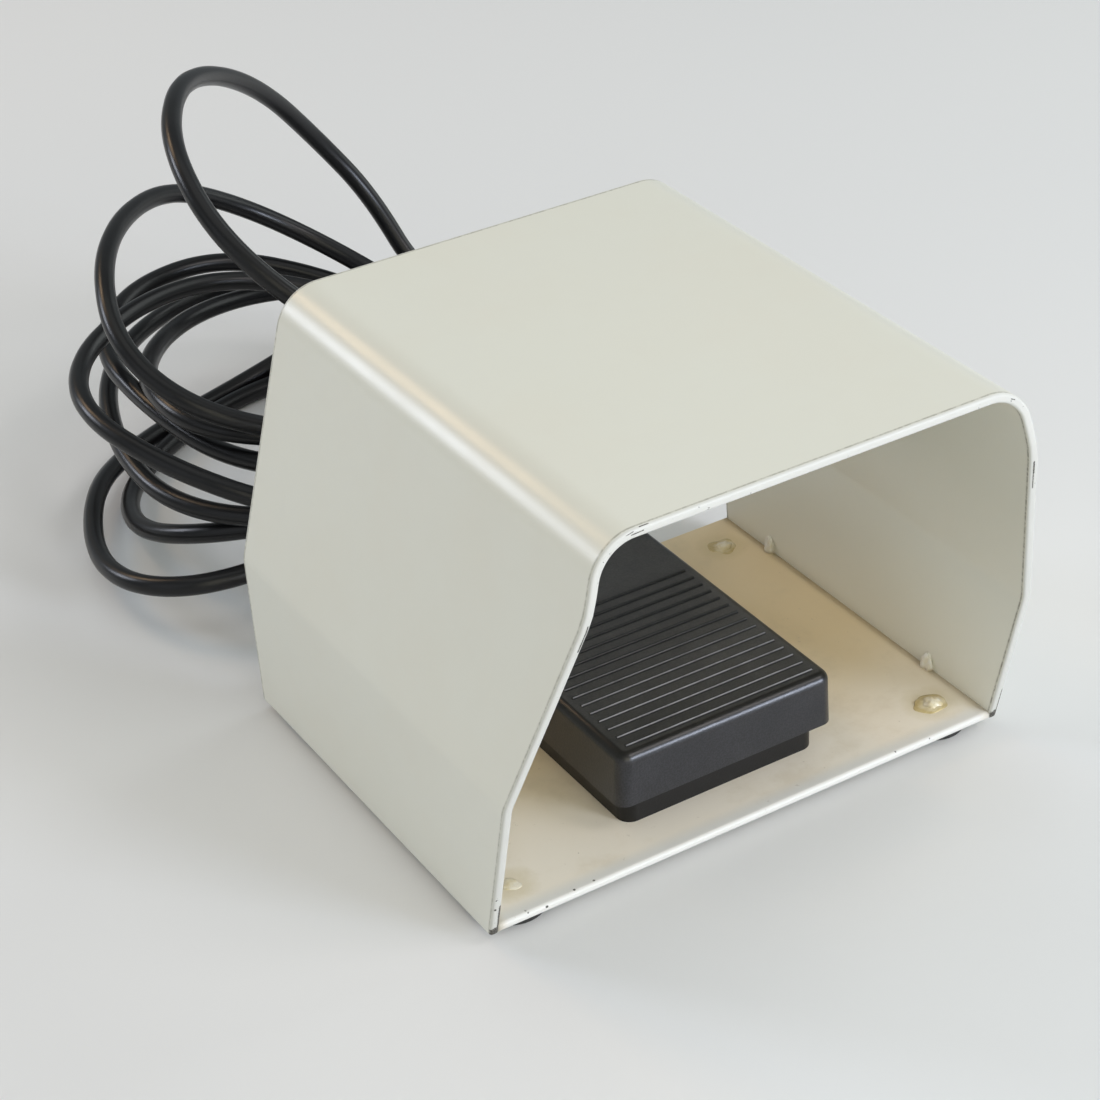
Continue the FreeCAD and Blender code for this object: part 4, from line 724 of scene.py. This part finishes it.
bead = {
    "paint": (0.80, 0.79, 0.73, 1), "aged": (0.74, 0.69, 0.57, 1), "grimeAndShade": (0.50, 0.42, 0.28, 1),
    # the heights between which the painted shade at a bead's foot fades out
    "footLow": 0.0054, "footHigh": 0.0068,
}


def weldFinish():
    # a bead under the same enamel, with painted shade at its foot
    b = bead
    material, n, shader, spot = newMaterial("weldBead", IOR=1.5)
    patch = n.noise(spot, 420.0, 4.0, 0.6).outputs[0]
    up = n.add("SeparateXYZ", {0: spot}).outputs[2]
    paint = n.mix(n.span(patch, 0.4, 0.7), b["paint"], b["aged"])
    # painted shade at the bead's foot, where it meets the plate
    paint = n.mix(n.span(up, b["footLow"], b["footHigh"], 0.8, 0.0), paint, b["grimeAndShade"])
    n.feed(shader.inputs["Base Color"], paint)
    n.feed(shader.inputs["Roughness"], n.span(patch, 0.3, 0.8, 0.28, 0.36))
    bumpFrom(n, shader, n.noise(spot, 900.0, 3.0, 0.6).outputs[0], 0.35, 0.0004)
    return material


oldGlue = {
    "rim": (0.62, 0.51, 0.26, 1), "rimDark": (0.47, 0.36, 0.15, 1),
    "heart": (0.82, 0.77, 0.64, 1), "heartDark": (0.74, 0.65, 0.42, 1),
    # the pale heart of a dab: its shift from the middle, its height, its half length and its reach
    "shift": 0.0004, "height": 0.0062, "half": 0.0009, "reach": 0.0024,
}


def glueFinish():
    # clear glue gone yellow: pale and cloudy in the middle of a dab, olive round its rim
    g = oldGlue
    material, n, shader, spot = newMaterial("driedGlue", IOR=1.5, Coat_Weight=0.4, Coat_Roughness=0.12)
    patch = n.noise(spot, 300.0, 4.0, 0.6).outputs[0]
    rim = n.mix(n.span(patch, 0.35, 0.7), g["rim"], g["rimDark"])
    hearts = [((side * glue["side"] + g["shift"], glue[end] - guard["ahead"] - g["shift"], g["height"]),
               (1, 0, 0), g["half"], g["reach"] * pale) for side, end, _, _, pale in glue["dabs"]]
    heart = spotsOn(n, spot, hearts, 0.55, 500.0, 0.45)
    cloudy = n.mix(n.span(patch, 0.4, 0.65), g["heart"], g["heartDark"])
    n.feed(shader.inputs["Base Color"], n.mix(heart, rim, cloudy))
    n.feed(shader.inputs["Roughness"], n.span(patch, 0.3, 0.8, 0.28, 0.42))
    bumpFrom(n, shader, patch, 0.6, 0.0006)
    return material


moulding = {
    # the film's tone against the plain one, its share and its rise in roughness
    "filmTone": 1.6, "filmShare": 0.6, "spread": 0.08,
    # painted shade for the grain's hollows, and pale lint
    "grainHollowShade": (0.001, 0.001, 0.001, 1), "lint": (0.20, 0.20, 0.20, 1),
}


def mouldingFinish(name, tone, roughness, grainScale, grainDepth, dust, sheen=0.5):
    # moulded plastic: spark-eroded grain with painted shade in its hollows, a little pale dust and a duller, scuffed
    # film in patches
    m = moulding
    material, n, shader, spot = newMaterial(name, IOR=1.5, Specular_IOR_Level=sheen)
    patch = n.noise(spot, 90.0, 4.0, 0.6).outputs[0]
    filmAndSheen = tuple(min(1, c * m["filmTone"]) for c in tone[:3]) + (1,)
    colour = n.mix(n.span(patch, 0.4, 0.8, 0.0, m["filmShare"]), tone, filmAndSheen)
    fleck = n.noise(spot, grainScale, 2.0, 0.6).outputs[0]
    # painted shade in the grain's hollows
    colour = n.mix(n.span(fleck, 0.35, 0.65, 0.5, 0.0), colour, m["grainHollowShade"])
    lint = n.span(n.noise(spot, 1900.0, 2.0, 0.5).outputs[0], 0.70, 0.76, 0.0, dust)
    n.feed(shader.inputs["Base Color"], n.mix(lint, colour, m["lint"]))
    n.feed(shader.inputs["Roughness"], n.span(patch, 0.3, 0.8, roughness, roughness + m["spread"]))
    grain = n.group(surfaceGrain, {"Vector": spot, "Grain Scale": grainScale, "Wave Scale": 300.0, "Wave Share": 0.3})
    bumpFrom(n, shader, grain.outputs[0], grainDepth, 0.0003)
    return material


treadleFinish = {
    "tone": (0.021, 0.0207, 0.024, 1), "roughness": 0.28, "grainScale": 2000.0, "grainDepth": 0.13, "dust": 0.15,
    # the ribs: first rib and its crest line's shift, pitch, height, half length, and where their row begins and ends
    "firstRib": -0.034215, "crestShift": 0.00036, "ribPitch": 0.00418, "crest": 0.03036,
    "ribHalf": 0.0288, "rowFrom": -0.0360, "rowTo": 0.0248,
    # painted highlight with some wear on the rib crests in front, its roughness on top, and where it fades out
    "wearAndGlint": (0.17, 0.172, 0.178, 1), "wearAndGlintRoughness": 0.06, "wearAndGlintFrom": -0.022, "wearAndGlintTo": 0.004,
    # the painted sheen on the flat of the top, the painted dark reflection strip on the fillet below it and the painted
    # shade on the face of each rib
    "filmAndSheen": (0.060, 0.0585, 0.056, 1), "flat": 0.0302, "darkReflectionFrom": 0.0018, "darkReflectionTo": 0.0010,
    "shade": (0.002, 0.002, 0.002, 1),
}


def treadleTop():
    # the moulding's finish with painted sheen on the flat, a painted dark reflection on the fillet, painted shade on
    # the rib faces and a painted highlight with some wear on the crests, more so towards the front
    t = treadleFinish
    material = mouldingFinish(
        "grainedMoulding", t["tone"], t["roughness"], t["grainScale"], t["grainDepth"], t["dust"])
    n = Nodes(material.node_tree)
    shader = next(node for node in material.node_tree.nodes if node.type == "BSDF_PRINCIPLED")
    spot = n.add("TexCoord").outputs["Object"]
    across, along, up = n.add("SeparateXYZ", {0: spot}).outputs
    turn = n.math("DIVIDE", n.math("SUBTRACT", along, t["firstRib"] - t["crestShift"]), t["ribPitch"])
    away = n.math("ABSOLUTE", n.math("SUBTRACT", turn, n.math("ROUND", turn)))
    front = n.span(along, t["wearAndGlintFrom"], t["wearAndGlintTo"], 1.0, 0.0)
    # painted highlight with some wear on the crest lines, broken up by slow noise
    patchiness = n.span(n.noise(spot, 240.0, 3.0, 0.6).outputs[0], 0.3, 0.6, 0.5, 1.0)
    high = n.span(up, t["crest"], t["crest"] + 0.00006)
    crest = n.math("MULTIPLY", n.span(away, 0.02, 0.05, 1.0, 0.0), high)
    crest = n.math("MULTIPLY", crest, n.math("MULTIPLY", front, patchiness))
    # painted sheen on the flat of the top, thinner towards the front and painted darker between the grains
    upper = n.span(up, t["flat"] - 0.0001, t["flat"])
    filmAndSheen = n.math("MULTIPLY", upper, n.span(n.noise(spot, 160.0, 5.0, 0.65).outputs[0], 0.25, 0.7, 0.75, 1.0))
    filmAndSheen = n.math("MULTIPLY", filmAndSheen, n.span(along, -0.038, -0.010, 0.66, 1.0))
    fleck = n.noise(spot, t["grainScale"], 2.0, 0.6).outputs[0]
    filmAndSheen = n.math("MULTIPLY", filmAndSheen, n.span(fleck, 0.35, 0.65, 0.72, 1.0))
    # painted dark reflection: a near-black strip on the upper fillet below the flat top
    darkReflection = n.math("MULTIPLY", n.span(up, t["flat"] - t["darkReflectionFrom"], t["flat"] - t["darkReflectionTo"]), 0.9)
    plain = shader.inputs["Base Color"].links[0].from_socket
    colour = n.mix(filmAndSheen, n.mix(darkReflection, plain, t["shade"]), t["filmAndSheen"])
    # painted shade on the rib faces, darker towards the rear
    inRow = n.math("MULTIPLY", n.span(along, t["rowFrom"], t["rowFrom"] + 0.0008),
                   n.span(along, t["rowTo"], t["rowTo"] + 0.0006, 1.0, 0.0))
    onRib = n.span(n.math("ABSOLUTE", across), t["ribHalf"], t["ribHalf"] + 0.0006, 1.0, 0.0)
    face = n.math("MULTIPLY", n.span(away, 0.07, 0.15, 1.0, 0.0), upper)
    face = n.math("MULTIPLY", face, n.math("MULTIPLY", inRow, onRib))
    face = n.math("MULTIPLY", face, n.span(front, 0.0, 1.0, 0.9, 0.5))
    colour = n.mix(face, colour, t["shade"])
    # painted highlight with some wear: pale crest lines, fading towards the rear
    n.feed(shader.inputs["Base Color"], n.mix(crest, colour, t["wearAndGlint"]))
    gloss = shader.inputs["Roughness"].links[0].from_socket
    n.feed(shader.inputs["Roughness"], n.math("ADD", gloss, n.math("MULTIPLY", crest, t["wearAndGlintRoughness"])))
    return material


sheath = {
    "tone": (0.007, 0.007, 0.0077, 1), "handled": (0.011, 0.011, 0.0112, 1), "roughness": 0.277, "dulled": 0.33,
}


def cordFinish():
    # glossy flexible sheath with faint handling marks
    s = sheath
    material, n, shader, spot = newMaterial("cordSheath", IOR=1.45, Specular_IOR_Level=0.38)
    patch = n.noise(spot, 70.0, 4.0, 0.6).outputs[0]
    n.feed(shader.inputs["Base Color"], n.mix(n.span(patch, 0.4, 0.8, 0.0, 0.7), s["tone"], s["handled"]))
    n.feed(shader.inputs["Roughness"], n.span(patch, 0.3, 0.8, s["roughness"], s["dulled"]))
    grain = n.group(surfaceGrain, {"Vector": spot, "Grain Scale": 1200.0, "Wave Scale": 220.0, "Wave Share": 0.6})
    bumpFrom(n, shader, grain.outputs[0], 0.10, 0.0003)
    return material


drawnMetal = {"cloudTone": 0.72, "smoother": 0.06, "rougher": 0.1}


def metalFinish(name, tone, roughness, stretch):
    # plated or drawn metal: fine lines along one axis and slow clouding
    d = drawnMetal
    material, n, shader, spot = newMaterial(name, Metallic=1.0)
    drawn = n.add("Mapping", {"Vector": spot, "Scale": stretch}).outputs[0]
    fine = n.noise(drawn, 900.0, 3.0, 0.6).outputs[0]
    cloud = n.noise(spot, 240.0, 3.0, 0.5).outputs[0]
    clouded = tuple(c * d["cloudTone"] for c in tone[:3]) + (1,)
    n.feed(shader.inputs["Base Color"], n.mix(n.span(cloud, 0.35, 0.75, 0.0, 0.6), tone, clouded))
    gloss = n.span(fine, 0.3, 0.7, roughness - d["smoother"], roughness + d["rougher"])
    n.feed(shader.inputs["Roughness"], gloss)
    bumpFrom(n, shader, fine, 0.15, 0.0001)
    return material


ground = {"pale": (0.735, 0.745, 0.75, 1), "paler": (0.76, 0.765, 0.765, 1), "half": 6.0}


def floorFinish():
    # a plain pale board with faint clouds
    material, n, shader, spot = newMaterial("paleFloor", IOR=1.4, Specular_IOR_Level=0.3, Roughness=0.55)
    cloud = n.noise(spot, 1.3, 2.0, 0.5).outputs[0]
    n.feed(shader.inputs["Base Color"], n.mix(n.span(cloud, 0.3, 0.7), ground["pale"], ground["paler"]))
    return material
# Camera, light and floor

view = {
    "eye": (-0.325633, -0.502291, 0.441523), "lens": 89.13,
    "right": (0.84682509, -0.5304067, -0.03944611), "down": (-0.3129894, -0.43699346, -0.84325225),
}
lights = [
    # name, direction from the object, distance, size, watts, colour
    ("overhead", (0.05, 0.10, 1.0), 1.6, 1.5, 3.8, (1.0, 1.0, 0.95)),
    ("backLeft", (-0.560, 0.735, 0.365), 1.7, 0.42, 6.2, (0.85, 0.89, 1.0)),
    ("backWarm", (-0.270, 0.735, 0.600), 1.7, 0.38, 3.2, (1.0, 0.69, 0.42)),
    ("frontRight", (0.43, -0.536, 0.726), 1.6, 0.5, 4.3, (1.0, 0.93, 0.91)),
    ("rightLow", (0.46, -0.86, 0.22), 1.7, 0.5, 17.5, (0.77, 0.84, 1.0)),
    ("frontFill", (-0.25, -0.85, 0.45), 1.7, 1.4, 8.9, (1.0, 0.93, 0.72)),
    ("frontLow", (0.15, -0.95, 0.20), 1.7, 1.2, 3.6, (1.0, 1.0, 0.95)),
    ("left", (-0.9, -0.1, 0.4), 1.7, 1.2, 1.9, (0.94, 0.94, 1.0)),
    ("right", (0.95, 0.10, 0.5), 1.7, 1.2, 7.6, (0.95, 1.0, 0.98)),
]
sky = {"colour": (0.87, 0.96, 1.0), "strength": 0.292}


def placeCamera():
    lens = bpy.data.cameras.new("camera")
    lens.sensor_width = 36
    lens.lens = view["lens"]
    lens.clip_end = 50
    camera = linkPiece("camera", lens)
    right, down = Vector(view["right"]), Vector(view["down"])
    right.normalize()
    forward = right.cross(down).normalized()
    up = (forward.cross(right) * -1).normalized()
    turned = Matrix((right, up, -forward)).transposed().to_4x4()
    turned.translation = Vector(view["eye"])
    camera.matrix_world = turned
    bpy.context.scene.camera = camera


def placeLights():
    aim = Vector((0, 0, 0.05))
    for name, way, distance, size, watts, colour in lights:
        lamp = bpy.data.lights.new(name, "AREA")
        lamp.shape = "SQUARE"
        lamp.size = size
        lamp.energy = watts
        lamp.color = colour
        holder = linkPiece(name, lamp)
        way = Vector(way).normalized()
        turned = way.to_track_quat("Z", "Y").to_matrix().to_4x4()
        turned.translation = aim + way * distance
        holder.matrix_world = turned
    world = bpy.data.worlds.new("paleStudio")
    world.use_nodes = True
    back = next(node for node in world.node_tree.nodes if node.type == "BACKGROUND")
    back.inputs[0].default_value = (*sky["colour"], 1)
    back.inputs[1].default_value = sky["strength"]
    bpy.context.scene.world = world
    bpy.context.scene.view_settings.view_transform = "Standard"


def placeFloor():
    reach = ground["half"]
    points = [(-reach, -reach, 0), (reach, -reach, 0), (reach, reach, 0), (-reach, reach, 0)]
    floor = linkPiece("floor", meshFromArrays("floor", points, [np.array([[0, 1, 2, 3]])], smooth=False))
    floor.data.materials.append(floorFinish())


# Everything in its place

placeCamera()
placeLights()
placeFloor()
print("camera, light and floor set")

finishes = {
    "enamel": hoodFinish(), "enamelInside": floorPlateFinish(), "weld": weldFinish(),
    "glue": glueFinish(), "treadle": treadleTop(),
    "moulding": mouldingFinish("plainMoulding", (0.004, 0.004, 0.0042, 1), 0.36, 2200.0, 0.12, 0.05, 0.37),
    "rubber": mouldingFinish("footRubber", (0.030, 0.029, 0.028, 1), 0.75, 1200.0, 0.5, 0.5),
    "switch": mouldingFinish("switchCase", (0.035, 0.034, 0.033, 1), 0.35, 2600.0, 0.2, 0.1),
    "plunger": mouldingFinish("plungerRed", (0.45, 0.05, 0.035, 1), 0.35, 2600.0, 0.2, 0.1),
    "wire": mouldingFinish("coreBlue", (0.03, 0.09, 0.36, 1), 0.35, 1500.0, 0.2, 0.1),
    "cord": cordFinish(), "zinc": metalFinish("zincPlate", (0.62, 0.61, 0.58, 1), 0.34, (1, 1, 0.1)),
    "spring": metalFinish("springSteel", (0.52, 0.52, 0.53, 1), 0.34, (1, 1, 1)),
    "brass": metalFinish("tinnedBrass", (0.72, 0.58, 0.30, 1), 0.34, (0.1, 1, 1)),
}
print("finishes made:", len(finishes))


def settle(piece, finish, body="guard"):
    piece.data.materials.clear()
    piece.data.materials.append(finishes[finish])
    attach(piece, body)
    return piece


hood = settle(guardHood(), "enamel")
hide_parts("guard_hood")
floorPlate = settle(basePlate(), "enamelInside")
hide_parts("base_plate")
welds = settle(tackWelds(), "weld")
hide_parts("tack_welds")
dabs = settle(glueDabs(), "glue")
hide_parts("glue_blobs")
print("guard made")

copies = [
    ("treadle", "pedal.treadle", 28, "treadle", "black_moulding", "treadle"),
    ("switch_base", "pedal.base", 28, "moulding", "black_moulding", "guard"),
    ("rubber_feet", "guard.feet", 30, "rubber", "foot_rubber", "guard"),
    ("strain_relief", "lead.bendGuard", 25, "cord", "cord_black", "guard"),
    ("plug_body", "lead.plug", 25, "cord", "cord_black", "guard"),
    ("plug_pins", "lead.prongs", 30, "brass", "brass_tab", "guard"),
]
for node, name, angle, finish, slotName, body in copies:
    settle(mergedCopy(node, name, angle), finish, body)
# the springs, settled in the guard with a mesh of their own
springs = settle(mergedCopy("return_springs", "pedal.springs", 40), "spring")
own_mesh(springs)
print("pedal and plug made")

lead = settle(freeCord(), "cord")
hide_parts("cord_lead", "cord_coil", "cord_tail")
print("lead made")

# the parts inside keep their CAD shapes and get their own finishes
inner = {
    "zinc": ["foot_screws", "hinge_pin", "switch_screws", "actuator_screw", "lock_nut", "pedal_screws", "pedal_nuts",
             "clamp_screws"],
    "spring": ["switch_lever"], "switch": ["switch_case", "switch_lid"], "plunger": ["switch_plunger"],
    "brass": ["switch_terminals", "crimp_receptacles"], "moulding": ["cable_clamp"], "cord": ["inner_cord"],
    "wire": ["core_wires"],
}
for finish, nodes in inner.items():
    for node in nodes:
        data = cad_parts[node].data
        data.materials.clear()
        data.materials.append(finishes[finish])
print("inner parts finished")
